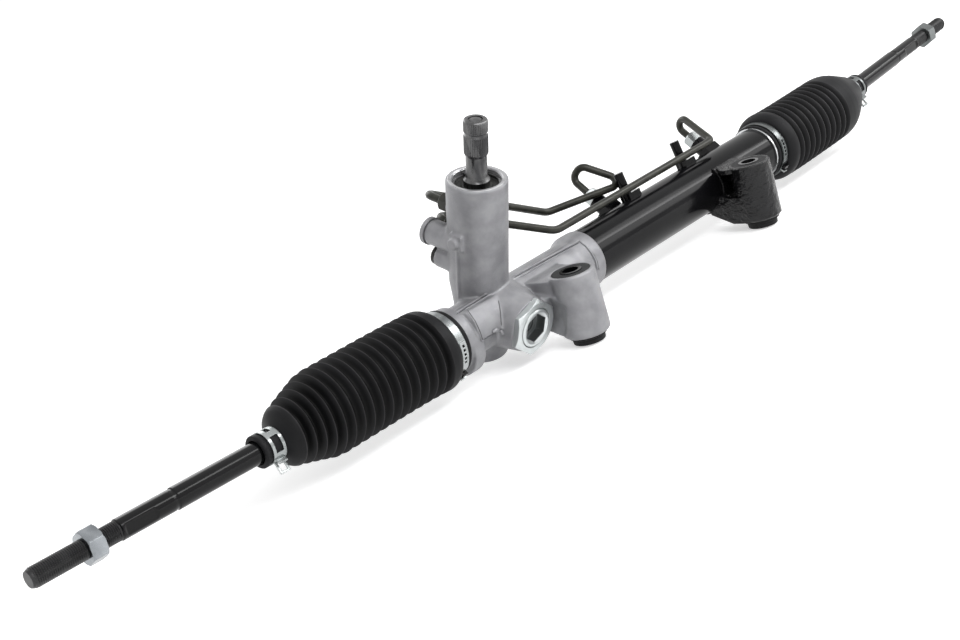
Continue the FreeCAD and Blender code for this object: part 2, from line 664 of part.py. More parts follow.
def yoke_plug():
    body = rod(yoke_point(YOKE_FLOOR + FACE), YOKE_DIR, PLUG_D / 2, PLUG_TOP - YOKE_FLOOR - FACE)
    body = body.cut(rod(yoke_point(0), YOKE_DIR, 9.5, SPRING_SEAT))
    return body.cut(hexagon(yoke_point(28.5), YOKE_DIR, 21.0, 20, AXIS_X))


def yoke_locknut():
    side = (AXIS_X * math.cos(math.radians(20)) + UP * math.sin(math.radians(20))).normalize()
    body = hexagon(yoke_point(LOCKNUT[0]), YOKE_DIR, 40.5, LOCKNUT[1] - LOCKNUT[0], side)
    cone = turned(yoke_point(0), YOKE_DIR, [(LOCKNUT[0], 23.4), (LOCKNUT[1] - 1.8, 23.4), (LOCKNUT[1], 20.4)])
    return body.common(cone).cut(rod(yoke_point(0), YOKE_DIR, PLUG_D / 2 + SEAT, 60))


def pinion_cap():
    body = rod(tower_point(CAP_BOTTOM + 0.3), UP, LOWER_R, 4.0)
    return body.cut(hexagon(tower_point(CAP_BOTTOM), UP, 12.0, 3.0, AXIS_X))


def pinion_nut():
    body = hexagon(tower_point(NUT_LOW + 0.6), UP, 17.0, LOWER_BEARING[0] - NUT_LOW - 0.6 - FACE, AXIS_X)
    return body.cut(rod(tower_point(NUT_LOW - 1), UP, 5.0 + SEAT, 20))


def top_bearing():
    length = TOP_BEARING[1] - TOP_BEARING[0]
    return ring(tower_point(TOP_BEARING[0]), UP, TOWER_BORE_D / 2 - SEAT, SHAFT_R + RUN, length)


def shaft_seal():
    low, high = SHAFT_SEAL
    outer = TOWER_BORE_D / 2 - SEAT
    lip = SHAFT_R + RUN
    outline = [(low, outer), (low, SHAFT_R + 1), (low + 2, lip), (high, lip), (high, SHAFT_R + 1.2),
               (high - 1.2, SHAFT_R + 2.2), (high - 1.2, outer - 3), (high, outer - 2.3), (high, outer)]
    return hollow_turned(tower_point(0), UP, outline)


def snap_ring():
    bore_r = TOWER_BORE_D / 2
    length = SNAP_RING[1] - SNAP_RING[0] - 2 * FACE
    body = ring(tower_point(SNAP_RING[0] + FACE), UP, bore_r + 1.3 - SEAT, bore_r - 2.0, length)
    gap = Part.makeBox(9, 30, 6, V(-4.5, 0, -3))
    return body.cut(aligned(gap, tower_point(SNAP_RING[0])))


def pressure_port_cap():
    start = tower_point(PRESSURE_PORT[1], PORT_BACK + FACE, PRESSURE_PORT[0])
    body = rod(start, -YOKE_DIR, 10.8, 3.4)
    plug = rod(tower_point(PRESSURE_PORT[1], PORT_BACK - 9, PRESSURE_PORT[0]), -YOKE_DIR, 7.0, 9.5)
    return fuse([body, plug])


def return_port_plug():
    start = tower_point(RETURN_PORT[1], PORT_BACK - 8 + FACE, RETURN_PORT[0])
    body = rod(start, -YOKE_DIR, 8.0, 3.2)
    plug = rod(tower_point(RETURN_PORT[1], PORT_BACK - 17, RETURN_PORT[0]), -YOKE_DIR, 6.0, 9.5)
    return fuse([body, plug])


def line_nut(seat, direction):
    # seat is the face the nut tightens on, direction points away from it
    side = direction.cross(AXIS_X)
    if side.Length < 0.5:
        side = direction.cross(V(0, 0, 1))
    side.normalize()
    body = hexagon(seat + direction * FACE, direction, 13.0, 9.0, side)
    body = body.common(turned(seat, direction, [(0, 7.7), (7.4, 7.7), (9.1, 6.2)]))
    stem = rod(seat - direction * 7.0, direction, NUT_SPIGOT_R, 7.5)
    body = fuse([body, stem])
    return body.cut(rod(seat - direction * 10, direction, LINE_D / 2 + SEAT, 30))


def line_routes():
    # corner points of the bent centre lines, from the tower to the tube
    hook = V(0, -math.cos(math.radians(PORT_ANGLE)), math.sin(math.radians(PORT_ANGLE)))
    upper = [tower_point(LINE_PORTS[0][1], NUT_BACK - 6.5, LINE_PORTS[0][0])]
    upper.append(tower_point(LINE_PORTS[0][1], 56.0, LINE_PORTS[0][0]))
    upper.append(V(HOUSING_FAR + 11.0, 36.7, TUBE_R + 13.9))
    upper.append(V(PORT_X[0] + 24.4, 10.7, TUBE_R + 11.4))
    upper.append(radial(PORT_X[0] + 4, PORT_ANGLE, FITTING_TOP + 29) + hook * 14.0)
    upper.append(radial(PORT_X[0], PORT_ANGLE, FITTING_TOP + 29))
    upper.append(radial(PORT_X[0], PORT_ANGLE, FITTING_TOP - 6.5))
    lower = [tower_point(LINE_PORTS[1][1], NUT_BACK - 6.5, LINE_PORTS[1][0])]
    lower.append(tower_point(LINE_PORTS[1][1], 58.0, LINE_PORTS[1][0]))
    lower.append(V(HOUSING_FAR - 23.5, -2.0, TUBE_R + 10.3))
    lower.append(V(PORT_X[1] - 18.0, -3.0, TUBE_R + 11.0))
    lower.append(radial(PORT_X[1] - 1, PORT_ANGLE, FITTING_TOP + 22) + hook * 12.5)
    lower.append(radial(PORT_X[1], PORT_ANGLE, FITTING_TOP + 25))
    lower.append(radial(PORT_X[1], PORT_ANGLE, FITTING_TOP - 6.5))
    return upper, lower


def socket(side):
    # side is 1 at the far end and -1 at the pinion end
    ball = BALL_FAR if side > 0 else BALL_NEAR
    face = (BAR_FAR if side > 0 else BAR_NEAR) + side * FACE
    axis = AXIS_X * side
    depth = abs(ball - face)
    cavity = SEAT_R + RUN
    section = [(-depth - 16, 0), (-depth - 16, STUD_R), (-depth, STUD_R), (-depth, 15.5), (5 - depth, 15.5),
               (9 - depth, 18.0), (9, 18.0), (13, 16.2), (13, 15.0), (cavity, MOUTH_DEG, 180.0)]
    return turned_ball(V(ball, 0, 0), axis, section)


def ball_seat(side):
    ball = BALL_FAR if side > 0 else BALL_NEAR
    section = [(SEAT_R, SEAT_MOUTH_DEG, 150.0), (BALL_R + RUN, 150.0, SEAT_MOUTH_DEG)]
    return turned_ball(V(ball, 0, 0), AXIS_X * side, section)


def tie_rod(side):
    ball = BALL_FAR if side > 0 else BALL_NEAR
    r = ROD_D / 2
    neck = 6.2
    thread_r = THREAD_D / 2
    meet = math.degrees(math.asin(neck / BALL_R))
    nut = nut_place(side)
    section = [(BALL_R, 180.0, meet), (17, neck), (25, r), (154.5, r), (159.5, 7.5), (ROD_LENGTH - 64, 7.5),
               (ROD_LENGTH - 62.5, thread_r), (nut - 0.5, thread_r), (nut - 0.5, MESH_R),
               (nut + NUT_LENGTH + 1.5, MESH_R), (nut + NUT_LENGTH + 1.5, thread_r),
               (ROD_LENGTH - 1.4, thread_r), (ROD_LENGTH, thread_r - 1.4), (ROD_LENGTH, 0)]
    body = turned_ball(V(ball, 0, 0), AXIS_X * side, section)
    for y in (6.4, -12.4):
        body = body.cut(Part.makeBox(22, 6, 20, V(ball + side * (ROD_LENGTH - 78) - 11, y, -10)))
    return body


def nut_place(side):
    return ROD_LENGTH - (FAR_NUT if side > 0 else NEAR_NUT)


def jam_nut(side):
    ball = BALL_FAR if side > 0 else BALL_NEAR
    axis = AXIS_X * side
    start = V(ball, 0, 0) + axis * nut_place(side)
    body = hexagon(start, axis, 21.0, NUT_LENGTH, V(0, 0, 1))
    trim = turned(start, axis, [
        (0, 10.9), (1.2, 12.3), (NUT_LENGTH - 1.2, 12.3), (NUT_LENGTH, 10.9)])
    return body.common(trim).cut(rod(start - axis, axis, MESH_R + SEAT, 20))


def small_cuff(side):
    return FAR_SMALL_CUFF if side > 0 else NEAR_SMALL_CUFF


def centre_line(side, along, start, tilt_deg):
    # the soft sleeve leaves the housing square, bows a little and ends square on the raised rod
    ball = BALL_FAR if side > 0 else BALL_NEAR
    lift = FAR_LIFT if side > 0 else NEAR_LIFT
    cuff = small_cuff(side)[0]
    angle = math.radians(tilt_deg)
    share = min(1.0, max(0.0, (along - start) / (cuff - start)))
    height = cuff * math.sin(angle) * share + lift * (1 - (2 * share - 1) ** 4)
    if along > cuff:
        height = along * math.sin(angle)
    lean = angle * min(1.0, 1.6 * share)
    return V(ball + side * along, 0, height), V(side * math.cos(lean), 0, math.sin(lean))


def sleeve_loft(side, stations, start, tilt_deg):
    wires = []
    for along, radius in stations:
        place, direction = centre_line(side, along, start, tilt_deg)
        wires.append(Part.Wire(Part.makeCircle(radius, place, direction)))
    return Part.makeLoft(wires, True, True)


def folds(span, crest, depth, slope=0.0):
    # the valley before each crest and the crest itself, with the crests falling along a cone
    first, pitch, count = span
    line = []
    for index in range(count):
        along = first + pitch * index
        radius = crest - slope * pitch * index
        line.append((along - pitch / 2, radius - depth))
        line.append((along, radius))
    return line


def bellows(side, tilt_deg):
    full = BELLOWS_D / 2
    cuff_r = CUFF_D / 2
    wall = 2.0
    if side < 0:
        start = BALL_NEAR - NEAR_CUFF[1]
        cuff_end = BALL_NEAR - NEAR_CUFF[0]
        seat_r = CUFF_SEAT_R
        main = folds(NEAR_FOLDS, full, NEAR_FOLD_DEPTH)
        nose = folds(NEAR_CONE_FOLDS, full - 0.9, NEAR_FOLD_DEPTH - 0.5, 0.32) + [(65.0, 20.2)]
    else:
        start = FAR_CUFF[0] - BALL_FAR
        cuff_end = FAR_CUFF[1] - BALL_FAR
        seat_r = TUBE_R
        main = folds(FAR_FOLDS, full, FAR_FOLD_DEPTH) + [(4.0, full - FAR_FOLD_DEPTH), (8.0, full)]
        nose = [(22.0, full), (29.0, full - 1.5), (44.0, 25.6), (56.0, 20.0), (61.5, 16.8)]
    shoulder = [(cuff_end + 2.3, full - 1.4), (cuff_end + 5.2, full), (main[0][0] - 4.5, full)]
    outer = [(start, cuff_r), (cuff_end, cuff_r)] + shoulder + main + nose
    outer += [(small_cuff(side)[0], 11.0), (small_cuff(side)[1], 11.0)]
    inner = [(start - 1, seat_r + SOFT), (cuff_end + 1.5, seat_r + SOFT), (cuff_end + 5.6, full - wall)]
    inner += [(along, radius - wall) for along, radius in shoulder[2:] + main + nose]
    inner += [(along, ROD_D / 2 + SOFT) for along in (small_cuff(side)[0] - 1.0, small_cuff(side)[1] + 1)]
    return sleeve_loft(side, outer, cuff_end, tilt_deg).cut(sleeve_loft(side, inner, cuff_end, tilt_deg))


def large_clamp(side):
    # the band sits against the shoulder of the bellows
    start = NEAR_CUFF[0] + 0.4 if side < 0 else FAR_CUFF[1] - 0.4 - CLAMP_LENGTH
    inner = CUFF_D / 2 + SOFT
    band = ring(V(start, 0, 0), AXIS_X, inner + 1.0, inner, CLAMP_LENGTH)
    ear = ring(V(start + 0.5, 0, -inner - 2.6), AXIS_X, 2.6, 1.7, CLAMP_LENGTH - 1)
    ear = ear.cut(ring(V(start - 2, 0, 0), AXIS_X, inner + 0.5, 1.0, 20))
    ear.rotate(V(0, 0, 0), AXIS_X, 20 if side < 0 else -40)
    return fuse([band, ear])


def small_clamp(side):
    ball = BALL_FAR if side > 0 else BALL_NEAR
    start = ball + side * (small_cuff(side)[0] + 2.0)
    axis = AXIS_X * side
    band = ring(V(start, 0, 0), axis, 12.2, 11.0 + SOFT, 11.0)
    ear = ring(V(start, 0, -15.2) + axis * 1.5, axis, 4.0, 3.1, 8.0)
    ear = ear.cut(rod(V(start, 0, 0) - axis, axis, 11.8, 20))
    ear.rotate(V(0, 0, 0), AXIS_X, 35)
    return fuse([band, ear])


def export_all():
    save(rack_housing(), "rack_housing")
    save(cylinder_tube(), "cylinder_tube")
    for number, x in enumerate(POST_X, 1):
        save(line_post(x), "line_post_" + str(number))
    save(right_bracket(), "right_mount_bracket")
    for name, x in (("left", MOUNT_X), ("right", MOUNT_X + MOUNT_PITCH)):
        save(bush_sleeve(x), name + "_bush_sleeve")
        save(bush_rubber(x), name + "_bush_rubber")
    save(inner_bulkhead(), "inner_bulkhead")
    save(inner_seal(), "inner_rack_seal")
    save(outer_bulkhead(), "outer_bulkhead")
    save(outer_seal(), "outer_rack_seal")
    save(bulkhead_wire(), "bulkhead_ring")
    save(tube_end_ring(), "tube_end_ring")
    save(yoke(), "rack_yoke")
    save(yoke_spring(), "yoke_spring")
    save(yoke_plug(), "yoke_plug")
    save(yoke_locknut(), "yoke_locknut")
    save(pinion_cap(), "pinion_end_cap")
    save(top_bearing(), "shaft_bearing")
    save(shaft_seal(), "shaft_seal")
    save(snap_ring(), "snap_ring")
    save(pressure_port_cap(), "pressure_port_cap")
    save(return_port_plug(), "return_port_plug")
    for name, span, outer, inner in (("upper", UPPER_BEARING, TOWER_BORE_D / 2, 10.0),
                                     ("lower", LOWER_BEARING, LOWER_R, 6.0)):
        save(bearing_outer(span, outer, inner), name + "_bearing_outer")
        save(bearing_inner(span, outer, inner), name + "_bearing_inner")
    upper, lower = line_routes()
    save(bent_tube(upper, LINE_BENDS, LINE_D / 2, LINE_D / 2 - 0.9), "upper_transfer_line")
    save(bent_tube(lower, LINE_BENDS, LINE_D / 2, LINE_D / 2 - 0.9), "lower_transfer_line")
    for number in range(2):
        x, height = LINE_PORTS[number]
        save(line_nut(tower_point(height, NUT_BACK, x), -YOKE_DIR), "line_nut_" + str(number + 1))
        fitting = radial(PORT_X[number], PORT_ANGLE, FITTING_TOP)
        save(line_nut(fitting, radial_dir(PORT_ANGLE)), "line_nut_" + str(number + 3))
    save(rack_bar(), "rack_bar")
    save(piston(), "piston")
    save(piston_ring(), "piston_ring")
    save(pinion(), "pinion")
    save(pinion_nut(), "pinion_nut")
    save(valve_sleeve(), "valve_sleeve")
    save(Part.makeCompound([valve_ring(index) for index in range(4)]), "valve_rings")
    save(input_shaft(), "input_shaft")
    save(torsion_bar(), "torsion_bar")
    for name, side, tilt in (("near", -1, NEAR_TILT), ("far", 1, FAR_TILT)):
        ball = BALL_FAR if side > 0 else BALL_NEAR
        turn = -side * tilt
        save(socket(side), name + "_socket")
        save(swung(ball_seat(side), ball, turn), name + "_ball_seat")
        save(swung(tie_rod(side), ball, turn), name + "_tie_rod")
        save(swung(jam_nut(side), ball, turn), name + "_jam_nut")
        save(swung(small_clamp(side), ball, turn), name + "_small_clamp")
        save(bellows(side, tilt), name + "_bellows")
        save(large_clamp(side), name + "_large_clamp")


export_all()
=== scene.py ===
import json
import math
import bpy
import bmesh
from mathutils import Matrix, Vector
from mathutils.bvhtree import BVHTree


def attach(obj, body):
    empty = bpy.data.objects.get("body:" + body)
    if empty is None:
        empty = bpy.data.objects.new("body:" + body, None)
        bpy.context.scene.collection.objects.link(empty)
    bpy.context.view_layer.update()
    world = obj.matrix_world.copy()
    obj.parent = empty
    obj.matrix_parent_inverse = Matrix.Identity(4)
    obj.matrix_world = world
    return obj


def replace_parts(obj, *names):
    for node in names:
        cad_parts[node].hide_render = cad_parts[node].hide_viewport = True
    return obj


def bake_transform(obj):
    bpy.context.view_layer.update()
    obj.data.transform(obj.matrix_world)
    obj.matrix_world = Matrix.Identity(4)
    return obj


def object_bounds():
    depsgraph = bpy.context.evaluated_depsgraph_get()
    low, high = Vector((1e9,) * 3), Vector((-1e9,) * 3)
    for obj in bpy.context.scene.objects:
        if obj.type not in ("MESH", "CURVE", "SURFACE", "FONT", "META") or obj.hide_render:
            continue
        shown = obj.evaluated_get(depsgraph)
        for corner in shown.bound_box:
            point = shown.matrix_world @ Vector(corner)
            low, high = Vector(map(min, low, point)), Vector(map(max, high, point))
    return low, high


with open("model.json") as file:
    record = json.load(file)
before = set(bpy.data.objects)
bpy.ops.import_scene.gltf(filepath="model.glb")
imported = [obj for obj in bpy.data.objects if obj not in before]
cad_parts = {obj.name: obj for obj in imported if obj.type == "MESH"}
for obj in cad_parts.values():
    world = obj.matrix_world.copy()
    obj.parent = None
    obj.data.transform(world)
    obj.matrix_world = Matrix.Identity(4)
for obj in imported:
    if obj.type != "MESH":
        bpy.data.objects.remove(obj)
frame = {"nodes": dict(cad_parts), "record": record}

cad_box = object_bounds()

# Measures are in mm from the rack's axis below the pinion, unless a name says otherwise
PER_METRE = 1000.0
SHIFT = Vector((-44.0, 48.0, 12.1))     # from that point to the frame's origin in the left bush
TILT = math.radians(20.5)               # the valve tower leans to the front
UP = Vector((0, -math.sin(TILT), math.cos(TILT)))
BACK = Vector((0, math.cos(TILT), math.sin(TILT)))
RIGHT = Vector((1, 0, 0))
FRONT = Vector((0, -1, 0))
TOWER_FOOT = BACK * 15.0                # the pinion runs this far behind the rack
BALL = {"near": -153.0, "far": 472.0}   # centres of the inner ball joints
SIDE = {"near": -1, "far": 1}
ROD_TILT = {"near": 2.0, "far": 4.0}    # degrees that the tie rods rise outward at rest
ROD_LENGTH = 262.0

# The camera as solved from the picture, in metres and pixels
EYE = Vector((-0.7743, -0.7712, 0.3463))
EYE_RIGHT = Vector((0.6645, -0.6931, -0.2794)).normalized()
EYE_AHEAD = Vector((0.6284, 0.7206, -0.2930)).normalized()
EYE_UP = EYE_RIGHT.cross(EYE_AHEAD).normalized()
LENS = 56.03
SENSOR = 36.0
PICTURE = (960, 640)


def place(point):
    return (Vector(point) + SHIFT) / PER_METRE


def rod_axis(end):
    angle = math.radians(ROD_TILT[end])
    return Vector((SIDE[end] * math.cos(angle), 0, math.sin(angle)))


# Mesh helpers
def make(name, verts, faces, material, body, smooth=True, angle=None):
    mesh = bpy.data.meshes.new(name)
    mesh.from_pydata([tuple(v) for v in verts], [], faces)
    mesh.validate()
    mesh.polygons.foreach_set("use_smooth", [smooth] * len(mesh.polygons))
    piece = bpy.data.objects.new(name, mesh)
    bpy.context.scene.collection.objects.link(piece)
    mesh.materials.append(material)
    if angle is not None:
        sharpen(piece, angle)
    if body:
        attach(piece, body)
    return piece


def sharpen(piece, degrees):
    work = bmesh.new()
    work.from_mesh(piece.data)
    bmesh.ops.delete(work, geom=[v for v in work.verts if not v.link_faces], context="VERTS")
    bmesh.ops.recalc_face_normals(work, faces=work.faces)
    limit = math.radians(degrees)
    for edge in work.edges:
        edge.smooth = len(edge.link_faces) == 2 and edge.calc_face_angle(0.0) < limit
    work.to_mesh(piece.data)
    work.free()


def basis(axis):
    axis = axis.normalized()
    side = axis.cross(Vector((0.0, 1.0, 0.0)))
    if side.length < 0.2:
        side = axis.cross(Vector((1.0, 0.0, 0.0)))
    side.normalize()
    return axis, side, axis.cross(side)


def lathe(name, origin, axis, profile, material, body, segments=96, shape=None,
          closed=False, angle=35):
    # profile lists (along, radius); shape turns (along, radius, turn) into (across, up)
    axis, side, other = basis(axis)
    verts, faces = [], []
    for along, radius in profile:
        for step in range(segments):
            turn = 2 * math.pi * step / segments
            if shape:
                u, v = shape(along, radius, turn)
            else:
                u, v = radius * math.cos(turn), radius * math.sin(turn)
            verts.append(place(origin + axis * along + side * u + other * v))
    rows = len(profile)
    for row in range(rows if closed else rows - 1):
        ahead = (row + 1) % rows
        for step in range(segments):
            beside = (step + 1) % segments
            faces.append((row * segments + step, row * segments + beside,
                          ahead * segments + beside, ahead * segments + step))
    if not closed:
        for row in (0, rows - 1):
            if profile[row][1] > 1e-6:
                faces.append(tuple(range(row * segments, (row + 1) * segments)))
    return make(name, verts, faces, material, body, True, angle)


# Material helpers
def nodes_of(name):
    material = bpy.data.materials.new(name)
    material.use_nodes = True
    tree = material.node_tree
    return material, tree, tree.nodes["Principled BSDF"]


def noise(tree, scale, detail=4.0, rough=0.55, stretch=None):
    coords = tree.nodes.new("ShaderNodeTexCoord")
    mapping = tree.nodes.new("ShaderNodeMapping")
    if stretch:
        mapping.inputs["Scale"].default_value = stretch
    texture = tree.nodes.new("ShaderNodeTexNoise")
    texture.inputs["Scale"].default_value = scale
    texture.inputs["Detail"].default_value = detail
    texture.inputs["Roughness"].default_value = rough
    tree.links.new(coords.outputs["Object"], mapping.inputs["Vector"])
    tree.links.new(mapping.outputs["Vector"], texture.inputs["Vector"])
    return texture.outputs["Fac"]


def ramp(tree, source, stops):
    node = tree.nodes.new("ShaderNodeValToRGB")
    while len(node.color_ramp.elements) < len(stops):
        node.color_ramp.elements.new(0.5)
    for element, (where, value) in zip(node.color_ramp.elements, stops):
        element.position = where
        element.color = value + (1.0,)
    tree.links.new(source, node.inputs["Fac"])
    return node.outputs["Color"]


NOISE_SPAN = (0.3, 0.7)    # a noise stays between these nearly everywhere


def spread(tree, source, low, high):
    node = tree.nodes.new("ShaderNodeMapRange")
    node.inputs["From Min"].default_value = NOISE_SPAN[0]
    node.inputs["From Max"].default_value = NOISE_SPAN[1]
    node.inputs["To Min"].default_value = low
    node.inputs["To Max"].default_value = high
    tree.links.new(source, node.inputs["Value"])
    return node.outputs["Result"]


def bump(tree, shader, source, strength, distance, soft_edge=0.0):
    node = tree.nodes.new("ShaderNodeBump")
    node.inputs["Strength"].default_value = strength
    node.inputs["Distance"].default_value = distance
    tree.links.new(source, node.inputs["Height"])
    if soft_edge:
        bevel = tree.nodes.new("ShaderNodeBevel")
        bevel.samples = 4
        bevel.inputs["Radius"].default_value = soft_edge
        tree.links.new(bevel.outputs["Normal"], node.inputs["Normal"])
    tree.links.new(node.outputs["Normal"], shader.inputs["Normal"])


def surface(name, low, high, rough, metallic=0.0, grain=900.0, relief=0.3, depth=0.0002,
            blotch=40.0, stretch=None, coat=0.0, coat_rough=0.1, edge=0.0, spec=0.5):
    # low and high are the two colours, rough the two roughnesses that a wide noise mixes;
    # grain is the scale of the fine relief, and depth and edge are in metres
    material, tree, shader = nodes_of(name)
    wide = noise(tree, blotch, 3.0, 0.5, stretch)
    fine = noise(tree, grain, 3.0, 0.6, stretch)
    tree.links.new(ramp(tree, wide, [(0.35, low), (0.65, high)]), shader.inputs["Base Color"])
    tree.links.new(spread(tree, wide, rough[0], rough[1]), shader.inputs["Roughness"])
    shader.inputs["Metallic"].default_value = metallic
    shader.inputs["Specular IOR Level"].default_value = spec
    shader.inputs["Coat Weight"].default_value = coat
    shader.inputs["Coat Roughness"].default_value = coat_rough
    bump(tree, shader, fine, relief, depth, edge)
    return material


cast = surface("cast_aluminium", (0.235, 0.235, 0.248), (0.325, 0.325, 0.338), (0.38, 0.50),
               metallic=0.45, grain=1900, relief=0.85, depth=0.0003, blotch=70)
# a dark copy of the cast metal: painted shade for the beads along grooves and the boss crease
cast_groove_shade = surface("cast_groove_shade", (0.07, 0.07, 0.075), (0.11, 0.11, 0.115), (0.50, 0.60),
                      metallic=0.2, grain=1500, relief=0.5, depth=0.0003, blotch=60)
machined = surface("machined_aluminium", (0.38, 0.38, 0.39), (0.48, 0.48, 0.49), (0.26, 0.36),
                   metallic=0.75, grain=500, relief=0.12, depth=0.0002, blotch=40,
                   stretch=(6, 1, 1))
tube_paint = surface("gloss_black_paint", (0.003, 0.003, 0.0035), (0.005, 0.005, 0.006),
                     (0.12, 0.20), grain=160, relief=0.10, depth=0.0003, blotch=18, coat=0.09,
                     coat_rough=0.05, spec=0.11)
bracket_paint = surface("welded_black_paint", (0.003, 0.003, 0.0035), (0.007, 0.007, 0.008),
                        (0.12, 0.22), grain=150, relief=1.0, depth=0.0022, blotch=90, coat=0.10,
                        coat_rough=0.10, edge=0.0015, spec=0.28)
rubber = surface("black_rubber", (0.006, 0.006, 0.0065), (0.012, 0.012, 0.013), (0.46, 0.60),
                 grain=1500, relief=0.15, depth=0.0002, blotch=60, spec=0.18)
zinc = surface("zinc_plate", (0.34, 0.36, 0.36), (0.46, 0.48, 0.48), (0.22, 0.32), metallic=0.95,
               grain=1100, relief=0.10, depth=0.0002, blotch=30, edge=0.0006)
white_zinc = surface("white_zinc_plate", (0.56, 0.59, 0.59), (0.66, 0.69, 0.69), (0.26, 0.36),
                     metallic=0.85, grain=1100, relief=0.10, depth=0.0002, blotch=30, edge=0.0008)
# a darker, bluish copy of the zinc plating for the near jam nut: painted shade for the dark
# surroundings in its reflection
shaded_nut_zinc = surface("shaded_bluish_zinc_plate", (0.22, 0.235, 0.25), (0.36, 0.38, 0.40), (0.16, 0.30),
                   metallic=0.97, grain=700, relief=0.12, depth=0.0002, blotch=60, edge=0.0010)
# a darker copy of the zinc plating: painted shade on the far clamps and jam nut and inside the
# plug's socket
shaded_zinc = surface("shaded_zinc_plate", (0.13, 0.14, 0.14), (0.22, 0.23, 0.23), (0.24, 0.34),
                    metallic=0.95, grain=1100, relief=0.10, depth=0.0002, blotch=30, edge=0.0006)
steel = surface("machined_steel", (0.05, 0.05, 0.052), (0.21, 0.21, 0.21), (0.18, 0.42),
                metallic=0.9, grain=700, relief=0.15, depth=0.0002, blotch=80,
                stretch=(1, 1, 0.15), edge=0.0003)
oxide = surface("black_oxide", (0.002, 0.002, 0.0022), (0.005, 0.005, 0.0055), (0.10, 0.16),
                grain=900, relief=0.12, depth=0.0002, blotch=80, stretch=(0.2, 1, 1), coat=0.06,
                coat_rough=0.05, spec=0.20)
thread_oxide = surface("thread_oxide", (0.010, 0.010, 0.011), (0.030, 0.030, 0.031), (0.30, 0.42),
                       metallic=0.2, grain=900, relief=0.12, depth=0.0002, blotch=80)
line_coat = surface("dark_line_coating", (0.016, 0.016, 0.012), (0.030, 0.030, 0.023),
                    (0.30, 0.42), metallic=0.2, grain=800, relief=0.25, depth=0.0002, blotch=120,
                    spec=0.35)
polymer = surface("seal_polymer", (0.016, 0.016, 0.015), (0.030, 0.030, 0.028), (0.40, 0.50),
                  grain=700, relief=0.2, depth=0.0002, blotch=60, spec=0.3)
seat_polymer = surface("seat_polymer", (0.70, 0.69, 0.62), (0.78, 0.77, 0.70), (0.35, 0.45),
                       grain=700, relief=0.2, depth=0.0002, blotch=60)
turned = surface("turned_aluminium", (0.50, 0.50, 0.51), (0.62, 0.62, 0.63), (0.25, 0.35),
                 metallic=0.9, grain=600, relief=0.2, depth=0.0002, blotch=60)
cap_plastic = surface("cap_plastic", (0.012, 0.012, 0.012), (0.022, 0.022, 0.022), (0.35, 0.45),
                      grain=700, relief=0.2, depth=0.0002, blotch=60, spec=0.3)
bright = surface("bright_ring", (0.55, 0.56, 0.57), (0.68, 0.69, 0.70), (0.16, 0.24),
                 metallic=0.95, grain=500, relief=0.1, depth=0.0001, blotch=60)


# Rubber of the bellows, from the bottom of a fold to its crest: painted shade darkens the valleys
# and a painted highlight lightens the crest
FOLD_SHADE_AND_HIGHLIGHT = [(0.0, (0.0010, 0.0010, 0.0011)), (0.40, (0.0035, 0.0035, 0.0038)),
              (0.88, (0.015, 0.015, 0.016)), (1.0, (0.060, 0.059, 0.061))]
FOLD_BLOTCHES = [(0.3, (0.75, 0.75, 0.75)), (0.7, (1.25, 1.25, 1.28))]


def bellows_rubber():
    material, tree, shader = nodes_of("bellows_rubber")
    fold = tree.nodes.new("ShaderNodeAttribute")
    fold.attribute_name = "fold"
    # the fold attribute picks the painted valley shade and the painted crest highlight
    tone = ramp(tree, fold.outputs["Fac"], FOLD_SHADE_AND_HIGHLIGHT)
    wide = noise(tree, 45, 3.0, 0.5)
    mix = tree.nodes.new("ShaderNodeMix")
    mix.data_type = "RGBA"
    mix.blend_type = "MULTIPLY"
    mix.inputs["Factor"].default_value = 1.0
    tree.links.new(tone, mix.inputs["A"])
    tree.links.new(ramp(tree, wide, FOLD_BLOTCHES), mix.inputs["B"])
    tree.links.new(mix.outputs["Result"], shader.inputs["Base Color"])
    tree.links.new(spread(tree, wide, 0.46, 0.60), shader.inputs["Roughness"])
    shader.inputs["Specular IOR Level"].default_value = 0.14
    bump(tree, shader, noise(tree, 1500, 3.0, 0.6), 0.12, 0.0002)
    return material


fold_rubber = bellows_rubber()

slot_material = {
    "cast_aluminium": cast, "tube_paint": tube_paint, "bracket_paint": bracket_paint,
    "black_rubber": rubber, "zinc": zinc, "steel": steel, "black_oxide": oxide,
    "line_coat": line_coat, "seal_polymer": polymer, "seat_polymer": seat_polymer,
    "hidden_aluminium": turned, "cap_plastic": cap_plastic, "bright_ring": bright,
}
own_material = {
    "pressure_port_cap": cast, "left_bush_sleeve": oxide, "right_bush_sleeve": steel,
    # the near jam nut's darker zinc is painted shade
    "snap_ring": steel, "yoke_locknut": white_zinc, "near_jam_nut": shaded_nut_zinc,
    # the far jam nut's darker zinc is painted shade
    "far_jam_nut": shaded_zinc, "line_nut_1": line_coat, "line_nut_2": line_coat,
}
for part in frame["record"]["subparts"]:
    node = frame["nodes"][part["node"]]
    node.data.materials.clear()
    node.data.materials.append(own_material.get(part["node"], slot_material[part["material_slot"]]))


